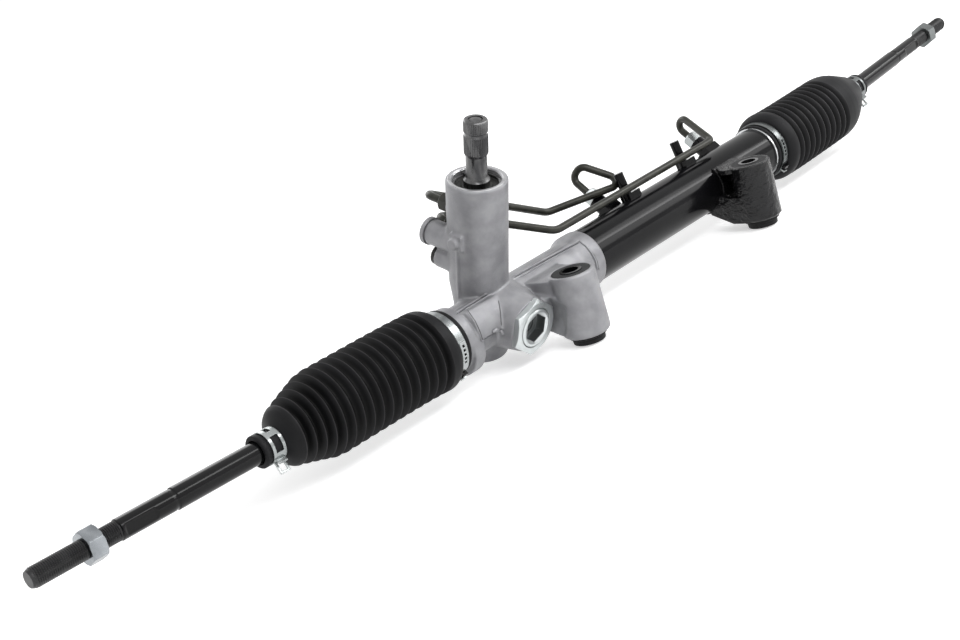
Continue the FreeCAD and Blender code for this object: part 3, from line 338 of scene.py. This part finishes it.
# Bellows, each in three sleeves: folds, neck and cuff.
# Places along one are counted outward from the centre of its ball.
CUFF = {"near": (68.0, 86.0), "far": (63.5, 80.5)}    # the small cuff on the rod
BEGIN = {"near": -87.0, "far": -94.0}                 # the large cuff ends, the width begins
MOUTH = {"near": -99.0, "far": -105.8}                # the large cuff's open end
FLAT = {"near": -73.2, "far": -82.5}                  # the folds begin
LIFT = {"near": 1.8, "far": -1.6}                     # the middle rises or sags
FULL = 32.7                                           # radius on the crests
CUFF_R = 25.5
SMALL_CUFF_R = 12.0
BORE_R = 9.0
WALL = 1.6
SLEEVE_SEGMENTS = 128
NEAR_FOLDS = (-65.3, 8.93, 11, FULL, 5.0)             # first crest, pitch, count, crest, depth
NEAR_CONE_FOLDS = (31.9, 7.2, 5, FULL - 0.9, 4.5, 0.32)
FAR_FOLDS = (-74.5, 9.25, 9, FULL, 4.2)
FAR_LAST_FOLD = [(4.1, FULL - 4.0), (8.8, FULL - 0.1)]
NOSE = {
    "near": [(62.2, 21.9), (64.4, 20.3), (66.0, 17.6), (67.4, 14.4), (68.4, 12.6), (69.0, 11.6),
             (69.6, 11.05)],
    "far": [(14.0, 32.6), (19.0, 32.5), (22.0, 32.2), (26.0, 31.6), (29.0, 30.9), (34.0, 29.2),
            (39.0, 27.1), (44.0, 24.9), (50.0, 22.2), (56.0, 19.3), (60.0, 17.0), (62.0, 15.2),
            (63.4, 12.8), (64.4, 11.4), (65.2, 11.05)],
}
CUTS = {"near": (19.535, 42.7, 86.8), "far": (22.0, 44.0, 81.2)}    # where the sleeves end


def lean_line(end, along):
    # the bent middle line of a bellows: its point and its direction
    ball, side = BALL[end], SIDE[end]
    angle = math.radians(ROD_TILT[end])
    cuff = CUFF[end][0]
    share = min(1.0, max(0.0, (along - BEGIN[end]) / (cuff - BEGIN[end])))
    height = cuff * math.sin(angle) * share + LIFT[end] * (1 - (2 * share - 1) ** 4)
    if along > cuff:
        height = along * math.sin(angle)
    lean = angle * min(1.0, 1.6 * share)
    point = Vector((ball + side * along, 0, height))
    return point, Vector((side * math.cos(lean), 0, math.sin(lean)))


def fold_knots(first, pitch, count, crest, depth, slope=0.0):
    knots = []
    for index in range(count):
        radius = crest - slope * pitch * index
        knots.append((first + pitch * (index - 0.5), radius - depth))
        knots.append((first + pitch * index, radius))
    return knots


def fold_line(knots, bend, step=0.4):
    # gives (along, radius, 0 in a valley to 1 on a crest);
    # a low bend makes sharp crests and a high one broad lobes
    line = []
    for (a0, r0), (a1, r1) in zip(knots, knots[1:]):
        count = max(3, int((a1 - a0) / step))
        for index in range(count):
            share = index / count
            if r1 < r0:
                part = math.sin(math.pi / 2 * share) ** bend
                crest = 1 - part
            else:
                part = 1 - math.sin(math.pi / 2 * (1 - share)) ** bend
                crest = part
            line.append((a0 + (a1 - a0) * share, r0 + (r1 - r0) * part, crest))
    return line + [knots[-1] + (1.0,)]


def smooth_line(knots, step=0.9, tone=0.75):
    line = []
    for (a0, r0), (a1, r1) in zip(knots, knots[1:]):
        count = max(1, int((a1 - a0) / step))
        line += [(a0 + (a1 - a0) * k / count, r0 + (r1 - r0) * k / count, tone)
                 for k in range(count)]
    return line + [knots[-1] + (tone,)]


def shoulder(begin, length, steps=12):
    # a quarter ellipse from the cuff up to the full width
    line = []
    for index in range(steps + 1):
        share = (index / steps) ** 1.5
        rise = math.sqrt(1 - (1 - share) ** 2)
        line.append((begin + length * share, CUFF_R + (FULL - CUFF_R) * rise))
    return line


def sleeve(end, name, line, low, high):
    # the stretch of a bellows between low and high, with its wall's thickness
    segments = SLEEVE_SEGMENTS
    rings = [mark for mark in line if low - 1e-6 <= mark[0] <= high + 1e-6]
    inner = [(along, max(BORE_R, radius - WALL), tone) for along, radius, tone in reversed(rings)]
    verts, faces, tones = [], [], []
    for along, radius, tone in rings + inner:
        centre, direction = lean_line(end, along)
        side = Vector((0, 1, 0))
        over = direction.cross(side)
        for step in range(segments):
            turn = 2 * math.pi * step / segments
            across, rise = radius * math.cos(turn), radius * math.sin(turn)
            verts.append(place(centre + side * across + over * rise))
            tones.append(tone)
    rows = len(rings) * 2
    for row in range(rows):
        ahead = (row + 1) % rows
        for step in range(segments):
            beside = (step + 1) % segments
            faces.append((row * segments + step, row * segments + beside,
                          ahead * segments + beside, ahead * segments + step))
    piece = make(name, verts, faces, fold_rubber, None, True, 60)
    # each point's place between valley and crest, which sets the painted shade and highlight
    mark = piece.data.attributes.new("fold", "FLOAT", "POINT")
    mark.data.foreach_set("value", tones)
    return piece


def bellows_line(end):
    begin, mouth, flat = BEGIN[end], MOUTH[end], FLAT[end]
    cuff = [(mouth, CUFF_R), (mouth + 0.6, CUFF_R + 0.5), (mouth + 2.4, CUFF_R + 0.5),
            (mouth + 3.0, CUFF_R - 0.1), (begin, CUFF_R - 0.1)]
    top = shoulder(begin + 0.2, 8.6)
    gap = smooth_line([top[-1], (flat, FULL)])[1:]
    if end == "near":
        folds = fold_knots(*NEAR_FOLDS) + fold_knots(*NEAR_CONE_FOLDS)
        body = fold_line([(flat, FULL)] + folds, 1.15)
    else:
        folds = fold_knots(*FAR_FOLDS) + FAR_LAST_FOLD
        # the far bellows get a weaker painted valley shade and crest highlight
        body = [(along, radius, 0.1 + 0.8 * tone)
                for along, radius, tone in fold_line([(flat, FULL)] + folds, 2.2)]
    high = CUFF[end][1]
    lip = [(high - 3.6, 11.05), (high - 3.0, SMALL_CUFF_R), (high - 0.4, SMALL_CUFF_R),
           (high + 0.4, 11.4), (high + 0.6, 10.4)]
    return smooth_line(cuff) + smooth_line(top) + gap + body[1:] + smooth_line(NOSE[end] + lip)


def bellows(end):
    line = bellows_line(end)
    ball, side = BALL[end], SIDE[end]
    cuts = (MOUTH[end],) + CUTS[end]
    folds, neck, cuff = [sleeve(end, end + "_bellows_" + name, line, start, stop)
                         for name, start, stop in zip(("folds", "neck", "cuff"), cuts, cuts[1:])]

    def mark(along):
        return place((ball + side * along, 0, 0))

    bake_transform(folds)
    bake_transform(neck)
    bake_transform(cuff)
    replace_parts(folds, end + "_bellows")


bellows("near")
bellows("far")


# Cast housing: the solid with its edges and inner corners softened as a casting has them
VOXEL = 0.00085
SOFTEN = 0.5
SOFTEN_TIMES = 7
EYE_WALL_R = (15.34, 16.62)
EYE_WALL_Z = (-18.0, 20.0)


# The locknut's room opens the bush eye on its near side, so a thin wall closes it.
# The eye stands on the frame's origin.
def eye_wall(work, turns=72):
    (inner, outer), (low, high) = EYE_WALL_R, EYE_WALL_Z
    rings = []
    for radius, height in ((inner, low), (outer, low), (outer, high), (inner, high)):
        ring = []
        for k in range(turns):
            turn = 2 * math.pi * k / turns
            ring.append(work.verts.new((radius / PER_METRE * math.cos(turn),
                                        radius / PER_METRE * math.sin(turn),
                                        height / PER_METRE)))
        rings.append(ring)
    for ring, beside in zip(rings, rings[1:] + rings[:1]):
        for k in range(turns):
            ahead = (k + 1) % turns
            work.faces.new((ring[k], ring[ahead], beside[ahead], beside[k]))


def cast_housing():
    work = bmesh.new()
    work.from_mesh(frame["nodes"]["rack_housing"].data)
    bmesh.ops.recalc_face_normals(work, faces=work.faces)
    eye_wall(work)
    mesh = bpy.data.meshes.new("cast_housing")
    work.to_mesh(mesh)
    work.free()
    skin = bpy.data.objects.new("cast_housing", mesh)
    bpy.context.scene.collection.objects.link(skin)
    remesh = skin.modifiers.new("even", "REMESH")
    remesh.mode = "VOXEL"
    remesh.voxel_size = VOXEL
    soften = skin.modifiers.new("soften", "SMOOTH")
    soften.factor = SOFTEN
    soften.iterations = SOFTEN_TIMES
    graph = bpy.context.evaluated_depsgraph_get()
    even = bpy.data.meshes.new_from_object(skin.evaluated_get(graph))
    skin.modifiers.clear()
    skin.data = even
    skin.data.materials.clear()
    skin.data.materials.append(cast)
    skin.data.polygons.foreach_set("use_smooth", [True] * len(skin.data.polygons))
    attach(skin, "rack_body")
    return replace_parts(skin, "rack_housing")


housing = cast_housing()
housing_surface = BVHTree.FromPolygons([v.co for v in housing.data.vertices],
                                       [p.vertices for p in housing.data.polygons])

# Lines of the casting, each a run of points in the picture, in pixels
PAD = [(466, 310.5), (474, 322), (479, 333), (481.5, 341), (491, 335), (497, 330)]
UPPER_RIB = [(456, 313), (487, 293)]
UPPER_RIB_LOW = [(465, 310), (489, 295.5)]
CREASE = [(498.5, 300), (500.5, 312), (501.5, 326)]
ARC = [(579, 241), (586.3, 246.3), (591.9, 253.8), (595.6, 261.3), (597.5, 270)]
FRAME = [(579, 241), (546, 258.5), (514, 276)]
FRAME_LOW = [(568, 250), (543, 263.5), (520, 277)]
HOOK = [(492, 332), (496, 329.5), (501, 330.5), (504, 334.5)]
MARK_STEP = 1.6         # pixels between the points of a bead
LONGEST_STEP = 0.012    # metres; a bead doesn't leap to what lies behind
BEAD_SIDES = 10
TAPER = 0.4             # of the full thickness, at both ends


def moved(path, right, down):
    return [(x + right, y + down) for x, y in path]


def seen_at(x, y):
    # the point of the housing behind a pixel of the picture
    focal = LENS / SENSOR * PICTURE[0]
    across = EYE_RIGHT * ((x - PICTURE[0] / 2) / focal)
    ray = EYE_AHEAD + across - EYE_UP * ((y - PICTURE[1] / 2) / focal)
    return housing_surface.ray_cast(EYE, ray.normalized())[:2]


def points_along(path, proud):
    marks = []
    for (x0, y0), (x1, y1) in zip(path, path[1:]):
        count = max(2, int(math.hypot(x1 - x0, y1 - y0) / MARK_STEP))
        marks += [(x0 + (x1 - x0) * k / count, y0 + (y1 - y0) * k / count)
                  for k in range(count)]
    marks.append(path[-1])
    points = []
    for mark in marks:
        hit, normal = seen_at(*mark)
        if hit and (not points or (hit - points[-1]).length < LONGEST_STEP):
            points.append(hit + normal * (proud / PER_METRE))
    return points


def seated_bead(name, path, thick, proud=0.0, material=cast):
    # a bead of radius thick whose middle stands proud of the housing
    points = points_along(path, proud)
    verts, faces = [], []
    for index, point in enumerate(points):
        before, after = points[max(0, index - 1)], points[min(len(points) - 1, index + 1)]
        axis, side, other = basis(after - before)
        size = thick / PER_METRE * (TAPER if index in (0, len(points) - 1) else 1.0)
        for corner in range(BEAD_SIDES):
            angle = 2 * math.pi * corner / BEAD_SIDES
            verts.append(point + side * (size * math.cos(angle))
                         + other * (size * math.sin(angle)))
    last = (len(points) - 1) * BEAD_SIDES
    for row in range(0, last, BEAD_SIDES):
        for corner in range(BEAD_SIDES):
            beside = (corner + 1) % BEAD_SIDES
            faces.append((row + corner, row + beside,
                          row + BEAD_SIDES + beside, row + BEAD_SIDES + corner))
    faces.append(tuple(range(BEAD_SIDES)))
    faces.append(tuple(reversed(range(last, last + BEAD_SIDES))))
    piece = make(name, verts, faces, material, "rack_body", True, 50)
    return piece


# The dark beads are painted shade along the grooves and the boss crease; the others are raised ribs
# and a boss
seated_bead("pad_border", PAD, 0.6, 0.15)
seated_bead("pad_groove_shade", moved(PAD, 1.3, -0.9), 0.45, -0.15, cast_groove_shade)
seated_bead("parting_rib", UPPER_RIB, 0.8, 0.1)
seated_bead("parting_groove_shade", moved(UPPER_RIB, 0.4, 1.5), 0.4, -0.1, cast_groove_shade)
seated_bead("parting_rib_low", UPPER_RIB_LOW, 0.6, 0.1)
seated_bead("boss_crease_shade", CREASE, 0.5, -0.2, cast_groove_shade)
seated_bead("flange_rib", ARC, 1.0, 0.2)
seated_bead("flange_groove_shade", moved(ARC, 1.6, 0.3), 0.5, -0.1, cast_groove_shade)
seated_bead("frame_rib", FRAME, 0.9, 0.1)
seated_bead("frame_groove_shade", moved(FRAME, 0.3, 1.6), 0.4, -0.1, cast_groove_shade)
seated_bead("frame_rib_low", FRAME_LOW, 0.6, 0.1)
seated_bead("hook_boss", HOOK, 1.5, 0.6)


# Bright machined rim round the tower's mouth, as (height, radius)
MOUTH_RIM = [(107.2, 18.44), (109.5, 18.44), (110.62, 19.5), (110.62, 21.6), (110.2, 22.2),
             (109.6, 22.0), (109.6, 18.9), (107.2, 18.9)]


def mouth_ring():
    ring = lathe("tower_mouth_ring", TOWER_FOOT, UP, MOUTH_RIM, machined, "rack_body", 128,
                 None, True, 30)
    return ring


mouth_ring()


# Yoke plug with its hexagon socket
YOKE_X = 4.0
HEXED = (10.0, 10.45)    # points of these radii are spread to the hexagon
SOCKET_SPIN = 20
SOCKET_MOUTH = 38.45
SOCKET_R = 0.0115    # metres
PLUG = [(19.1, 9.6), (19.1, 15.96), (35.0, 15.96), (35.6, 15.4), (38.6, 15.4), (39.5, 14.4),
        (39.5, 12.9), (38.9, 12.1), (38.5, 10.45), (30.5, 10.0), (30.4, 7.0), (28.6, 6.6),
        (28.6, 0.0001)]


def yoke_plug():
    origin = Vector((YOKE_X, 0, 0))

    def shape(along, radius, turn):
        if radius in HEXED:
            part = (turn - math.radians(SOCKET_SPIN)) % (math.pi / 3) - math.pi / 6
            radius = (radius - 0.15) / math.cos(part)
        return radius * math.cos(turn), radius * math.sin(turn)

    plug = lathe("socketed_yoke_plug", origin, -BACK, PLUG, white_zinc, "rack_body", 120,
                 shape, False, 28)
    # the faces inside the socket take the darker zinc: painted shade
    plug.data.materials.append(shaded_zinc)
    for polygon in plug.data.polygons:
        centre = Vector(polygon.center) - place(origin)
        depth = centre.dot(-BACK) * PER_METRE
        if depth < SOCKET_MOUTH and (centre + BACK * depth / PER_METRE).length < SOCKET_R:
            polygon.material_index = 1
    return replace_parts(plug, "yoke_plug")


yoke_plug()


# Band clamps cut from strip, with their windows and ears. A turn is in degrees round the
# axis, 0 up and 90 to the front, and a window is (turn from, turn to, along from, along to).
STRIP_STEP = 3.0
SMALL_BAND = (11.0, 11.3, 0.9)      # width, radius, thickness
LARGE_BAND = (7.0, 25.8, 0.9)
SMALL_LOW = 2.0                     # from the start of the small cuff
SMALL_WINDOWS = [(-8.0, 24.0, 3.8, 7.4), (45.0, 104.0, 2.4, 8.6), (176.0, 236.0, 2.4, 8.6),
                 (262.0, 322.0, 2.4, 8.6)]
FRAME_EAR_TURN = 150
SHORT_EAR_TURN = 132
EAR_RIM = 1.7
TAIL_LENGTH = 50.0                  # degrees of the slotted end of a large band
SLOTS = 5
SLOT_PITCH = 7.0


def strap(name, origin, axis, low, width, radius, sheet, material, body, span=(0.0, 360.0),
          windows=()):
    axis = axis.normalized()
    up = (Vector((0, 0, 1)) - axis * axis.z).normalized()
    marks = {span[0], span[1]} | {edge for window in windows for edge in window[:2]}
    marks |= {span[0] + STRIP_STEP * k for k in range(int((span[1] - span[0]) / STRIP_STEP))}
    marks = sorted(marks)
    lines = sorted({0.0, width} | {edge for window in windows for edge in window[2:]})
    whole = span[1] - span[0] > 359.9
    rows, cols = len(marks) - (1 if whole else 0), len(lines)
    verts = []
    for layer in (radius + sheet, radius):
        for turn in marks[:rows]:
            out = up * math.cos(math.radians(turn)) + FRONT * math.sin(math.radians(turn))
            verts += [place(origin + axis * (low + along) + out * layer) for along in lines]

    def spot(layer, row, col):
        return (layer * rows + row % rows) * cols + col

    def kept(row, col):
        if not 0 <= col < cols - 1 or (not whole and not 0 <= row < rows - 1):
            return False
        row %= rows
        turn = (marks[row] + marks[row + 1]) / 2
        along = (lines[col] + lines[col + 1]) / 2
        return not any(w[0] < turn < w[1] and w[2] < along < w[3] for w in windows)

    faces = []
    for row in range(rows if whole else rows - 1):
        for col in range(cols - 1):
            if not kept(row, col):
                continue
            ring = [(row, col), (row, col + 1), (row + 1, col + 1), (row + 1, col)]
            faces.append(tuple(spot(0, *corner) for corner in ring))
            faces.append(tuple(spot(1, *corner) for corner in reversed(ring)))
            beyond = [(row - 1, col), (row, col + 1), (row + 1, col), (row, col - 1)]
            for index, cell in enumerate(beyond):
                if not kept(*cell):
                    a, b = ring[index], ring[(index + 1) % 4]
                    faces.append((spot(0, *a), spot(0, *b), spot(1, *b), spot(1, *a)))
    return make(name, verts, faces, material, body, True, 30)


def tab(name, origin, axis, turn, low, width, start, rise, sheet, material, body, rim=None):
    # a plate standing out of a band from radius start, with a window inside its rim
    axis = axis.normalized()
    up = (Vector((0, 0, 1)) - axis * axis.z).normalized()
    out = up * math.cos(math.radians(turn)) + FRONT * math.sin(math.radians(turn))
    across = axis.cross(out)
    loops = [[(0, 0), (width, 0), (width, rise), (0, rise)]]
    if rim:
        loops.append([(rim, rim), (width - rim, rim), (width - rim, rise - rim),
                      (rim, rise - rim)])
    verts, faces = [], []
    for side in (-0.5, 0.5):
        for loop in loops:
            for along, height in loop:
                verts.append(place(origin + axis * (low + along) + out * (start + height)
                                   + across * (side * sheet)))
    back = 4 * len(loops)
    for index in range(4):
        beside = (index + 1) % 4
        faces.append((index, beside, back + beside, back + index))
        if rim:
            faces.append((4 + index, 4 + beside, back + 4 + beside, back + 4 + index))
            faces.append((index, beside, 4 + beside, 4 + index))
            faces.append((back + index, back + beside, back + 4 + beside, back + 4 + index))
    if not rim:
        faces += [(0, 1, 2, 3), (4, 5, 6, 7)]
    return make(name, verts, faces, material, body, False, 30)


# the far clamps take the darker zinc: painted shade
CLAMP_PLATE = {"near": zinc, "far": shaded_zinc}


def small_clamp(end):
    axis, origin = rod_axis(end), Vector((BALL[end], 0, 0))
    low = CUFF[end][0] + SMALL_LOW
    body, plate = end + "_rod", CLAMP_PLATE[end]
    band = strap(end + "_small_clamp_band", origin, axis, low, *SMALL_BAND, plate, body,
                 windows=SMALL_WINDOWS)
    frame_ear = tab(end + "_small_clamp_ear", origin, axis, FRAME_EAR_TURN, low + 1.4, 8.2,
                    11.6, 9.4, 1.2, plate, body, EAR_RIM)
    short_ear = tab(end + "_small_clamp_tab", origin, axis, SHORT_EAR_TURN, low + 1.8, 7.4,
                    11.6, 4.0, 1.4, plate, body)
    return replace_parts(band, end + "_small_clamp")


def large_clamp(end, start, turn):
    # the slotted tail begins at turn, and a hook and an ear stand behind its end
    origin = Vector((start, 0, 0))
    body, plate = "rack_body", CLAMP_PLATE[end]
    band = strap(end + "_large_clamp_band", origin, RIGHT, 0.0, *LARGE_BAND, plate, body,
                 windows=[(turn + 3, turn + 44, 1.8, 5.4)])
    slots = [(turn + 5 + SLOT_PITCH * k, turn + 9.4 + SLOT_PITCH * k, 1.9, 4.1)
             for k in range(SLOTS)]
    tail = strap(end + "_large_clamp_tail", origin, RIGHT, 0.4, 6.2, 26.72, 0.6, plate, body,
                 (turn, turn + TAIL_LENGTH), slots)
    hook = tab(end + "_large_clamp_hook", origin, RIGHT, turn + 60, 1.0, 5.0, 26.4, 3.6, 3.0,
               oxide, body)
    ear = tab(end + "_large_clamp_ear", origin, RIGHT, turn + 68, 0.8, 5.4, 26.4, 4.2, 1.2,
              zinc, body)
    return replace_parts(band, end + "_large_clamp")


small_clamp("near")
small_clamp("far")
large_clamp("near", -65.6, 80.0)
large_clamp("far", 370.6, 66.0)


# Tie rods with rolled thread, wrench flats and the stepped shank, counted from the ball
BALL_R = 11.5
NECK_R = 6.2
SHANK_R = 8.0
FLATS_R = 7.5
FLATS_HALF = 6.4
THREAD_R = 7.0
THREAD_ROOT = 6.2
THREADED = 6.999                 # radius that marks the points of the thread
THREAD_START = ROD_LENGTH - 64.0
THREAD_PITCH = 1.5
THREAD_DEPTH = 0.86
FLAT_LOW, FLAT_HIGH = ROD_LENGTH - 89.0, ROD_LENGTH - 67.0


def evenly(start, stop, step, radius):
    points = []
    while start < stop:
        points.append((start, radius))
        start += step
    return points


def rod_profile(ball_steps=16):
    meet = math.asin(NECK_R / BALL_R)
    profile = [(-BALL_R, 0.0001)]
    for step in range(1, ball_steps + 1):
        mark = math.pi - (math.pi - meet) * step / ball_steps
        profile.append((BALL_R * math.cos(mark), BALL_R * math.sin(mark)))
    profile += [(17, NECK_R), (25, SHANK_R), (25.6, SHANK_R)]
    profile += evenly(27.0, 153.5, 6.0, SHANK_R)
    profile += [(153.6, SHANK_R), (154.6, 7.95), (155.4, 7.3), (156.6, 7.2), (157.2, FLATS_R),
                (159.5, FLATS_R)]
    profile += evenly(FLAT_LOW - 3.0, FLAT_HIGH + 3.0, 0.4, FLATS_R)
    profile += [(THREAD_START - 0.4, FLATS_R), (THREAD_START, THREAD_R),
                (THREAD_START + 0.4, THREAD_ROOT)]
    profile += evenly(THREAD_START + 0.6, ROD_LENGTH - 1.5, THREAD_PITCH / 8, THREADED)
    return profile + [(ROD_LENGTH - 1.4, THREAD_ROOT), (ROD_LENGTH, 5.5), (ROD_LENGTH, 0.0001)]


def tie_rod(end):
    ball, side = BALL[end], SIDE[end]
    origin, axis = Vector((ball, 0, 0)), rod_axis(end)
    bevel_start = ROD_LENGTH - 3.4

    def shape(along, radius, turn):
        if radius == THREADED:
            phase = (along / THREAD_PITCH - side * turn / (2 * math.pi)) % 1.0
            depth = THREAD_DEPTH * (1 - abs(2 * phase - 1)) ** 0.9
            fade = min(1.0, (along - THREAD_START) / 2.0)
            cap = THREAD_R if along < bevel_start else THREAD_R - (along - bevel_start) * 0.45
            radius = min(cap, THREAD_R - depth * max(0.0, fade))
        u, v = radius * math.cos(turn), radius * math.sin(turn)
        if FLAT_LOW - 2.5 < along < FLAT_HIGH + 2.5:
            limit = FLATS_HALF + max(0.0, FLAT_LOW - along, along - FLAT_HIGH) * 0.55
            v = max(-limit, min(limit, v))
        return u, v

    rod = lathe(end + "_threaded_rod", origin, axis, rod_profile(), oxide, end + "_rod", 72,
                shape, False, 32)
    rod.data.materials.append(thread_oxide)
    for face in rod.data.polygons:
        if (face.center - place(origin)).dot(axis) * PER_METRE > THREAD_START:
            face.material_index = 1
    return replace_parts(rod, end + "_tie_rod")


tie_rod("near")
tie_rod("far")


# Input shaft with two splined lands and the clamp bolt groove between them
SPLINE_R = 9.15
SPLINE_DEPTH = 0.55
SPLINES = 40
SPLINE_STEP = 0.35
LOWER_LAND = (131.5, 145.2)
UPPER_LAND = (148.4, 156.2)


def input_shaft():
    profile = [(46, 6.5), (46, 11.9), (84, 11.9), (84, 10.0), (110, 10.0), (111.5, 8.6),
               (113, 8.0), (128.5, 8.0), (129.5, 8.3), (131.4, 9.1)]
    for low, high in (LOWER_LAND, UPPER_LAND):
        steps = int((high - low) / SPLINE_STEP + 1e-6) + 1
        profile += [(low + SPLINE_STEP * step, SPLINE_R) for step in range(steps)]
        if low == LOWER_LAND[0]:
            profile += [(145.6, 8.6), (146.2, 8.15), (147.4, 8.15), (148.0, 8.6)]
    profile += [(156.6, 9.0), (157.3, 8.6), (157.7, 8.0), (157.7, 5.5), (156.3, 5.4),
                (156.3, 4.6), (150.0, 4.6)]

    def shape(along, radius, turn):
        if LOWER_LAND[0] <= along <= UPPER_LAND[1] and radius > 9.1:
            wave = 0.5 - 0.5 * math.cos(SPLINES * turn)
            radius = SPLINE_R - SPLINE_DEPTH * wave ** 0.8
        return radius * math.cos(turn), radius * math.sin(turn)

    shaft = lathe("splined_input_shaft", TOWER_FOOT, UP, profile, steel, "shaft", 240, shape,
                  False, 35)
    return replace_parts(shaft, "input_shaft")


input_shaft()


def camera():
    data = bpy.data.cameras.new("camera")
    data.lens = LENS
    data.sensor_width = SENSOR
    data.clip_start = 0.05
    view = bpy.data.objects.new("camera", data)
    bpy.context.scene.collection.objects.link(view)
    eye_axes = Matrix((EYE_RIGHT, EYE_UP, -EYE_AHEAD)).transposed().to_4x4()
    eye_axes.translation = EYE
    view.matrix_world = eye_axes
    bpy.context.scene.camera = view


camera()


# Pale floor, backdrop colour and soft studio light, in metres and watts
FLOOR_HALF = 40
FLOOR_GAP = 0.0005
FLOOR_GLOW = (0.52, 1.0)      # beneath the part, where its shadow falls, and far from it
GLOW_REACH = (0.5, 1.4)
SKY = (0.42, 1.0)             # what lights the part, and what is seen
LAMPS = (                     # name, place, aim, width, height, power
    ("key", (-0.5, -1.1, 1.5), (0.1, 0.05, 0.0), 1.2, 1.2, 10.0),
    ("strip", (0.75, -0.64, 0.72), (0.75, 0.05, 0.02), 2.4, 0.20, 9.0),
    ("right_softbox", (1.3, -0.9, 0.8), (0.1, 0.05, 0.0), 0.9, 0.9, 7.0),
    ("back_softbox", (0.3, 1.6, 1.0), (0.1, 0.0, 0.05), 1.3, 1.3, 12.0),
)


def background_rays(tree):
    # 1 for what is seen straight on or in metal and glass
    seen = tree.nodes.new("ShaderNodeLightPath")
    joined = seen.outputs["Is Camera Ray"]
    for ray in ("Is Glossy Ray", "Is Transmission Ray"):
        largest = tree.nodes.new("ShaderNodeMath")
        largest.operation = "MAXIMUM"
        tree.links.new(joined, largest.inputs[0])
        tree.links.new(seen.outputs[ray], largest.inputs[1])
        joined = largest.outputs[0]
    return joined


def level_of(tree, source, span, levels):
    level = tree.nodes.new("ShaderNodeMapRange")
    level.inputs["From Min"].default_value = span[0]
    level.inputs["From Max"].default_value = span[1]
    level.inputs["To Min"].default_value = levels[0]
    level.inputs["To Max"].default_value = levels[1]
    tree.links.new(source, level.inputs["Value"])
    return level.outputs["Result"]


def lay_floor():
    half, z = FLOOR_HALF, cad_box[0][2] - FLOOR_GAP
    verts = [(-half, -half, z), (half, -half, z), (half, half, z), (-half, half, z)]
    material, tree, shader = nodes_of("pale_floor")
    shader.inputs["Roughness"].default_value = 0.9
    shader.inputs["Specular IOR Level"].default_value = 0.0
    tint = ramp(tree, noise(tree, 3.0), [(0.3, (0.80, 0.80, 0.80)), (0.7, (0.82, 0.82, 0.82))])
    tree.links.new(tint, shader.inputs["Base Color"])
    coords = tree.nodes.new("ShaderNodeTexCoord")
    reach = tree.nodes.new("ShaderNodeVectorMath")
    reach.operation = "LENGTH"
    tree.links.new(coords.outputs["Object"], reach.inputs[0])
    amount = tree.nodes.new("ShaderNodeMath")
    amount.operation = "MULTIPLY"
    tree.links.new(background_rays(tree), amount.inputs[0])
    tree.links.new(level_of(tree, reach.outputs["Value"], GLOW_REACH, FLOOR_GLOW),
                   amount.inputs[1])
    glow = tree.nodes.new("ShaderNodeEmission")
    glow.inputs["Color"].default_value = (1, 1, 1, 1)
    tree.links.new(amount.outputs[0], glow.inputs["Strength"])
    both = tree.nodes.new("ShaderNodeAddShader")
    out = tree.nodes["Material Output"]
    tree.links.new(shader.outputs[0], both.inputs[0])
    tree.links.new(glow.outputs[0], both.inputs[1])
    tree.links.new(both.outputs[0], out.inputs["Surface"])
    floor = make("floor", verts, [(0, 1, 2, 3)], material, None)


def light_sky():
    world = bpy.data.worlds.new("studio")
    bpy.context.scene.world = world
    world.use_nodes = True
    tree = world.node_tree
    back = tree.nodes["Background"]
    back.inputs["Color"].default_value = (1, 1, 1, 1)
    tree.links.new(level_of(tree, background_rays(tree), (0.0, 1.0), SKY),
                   back.inputs["Strength"])


def hang_lamps():
    for name, where, aim, wide, high, power in LAMPS:
        data = bpy.data.lights.new(name, "AREA")
        data.shape = "RECTANGLE"
        data.size = wide
        data.size_y = high
        data.energy = power
        lamp = bpy.data.objects.new(name, data)
        bpy.context.scene.collection.objects.link(lamp)
        lamp.location = where
        direction = Vector(aim) - Vector(where)
        lamp.rotation_euler = direction.to_track_quat("-Z", "Y").to_euler()


lay_floor()
light_sky()
hang_lamps()
bpy.context.scene.view_settings.view_transform = "Standard"
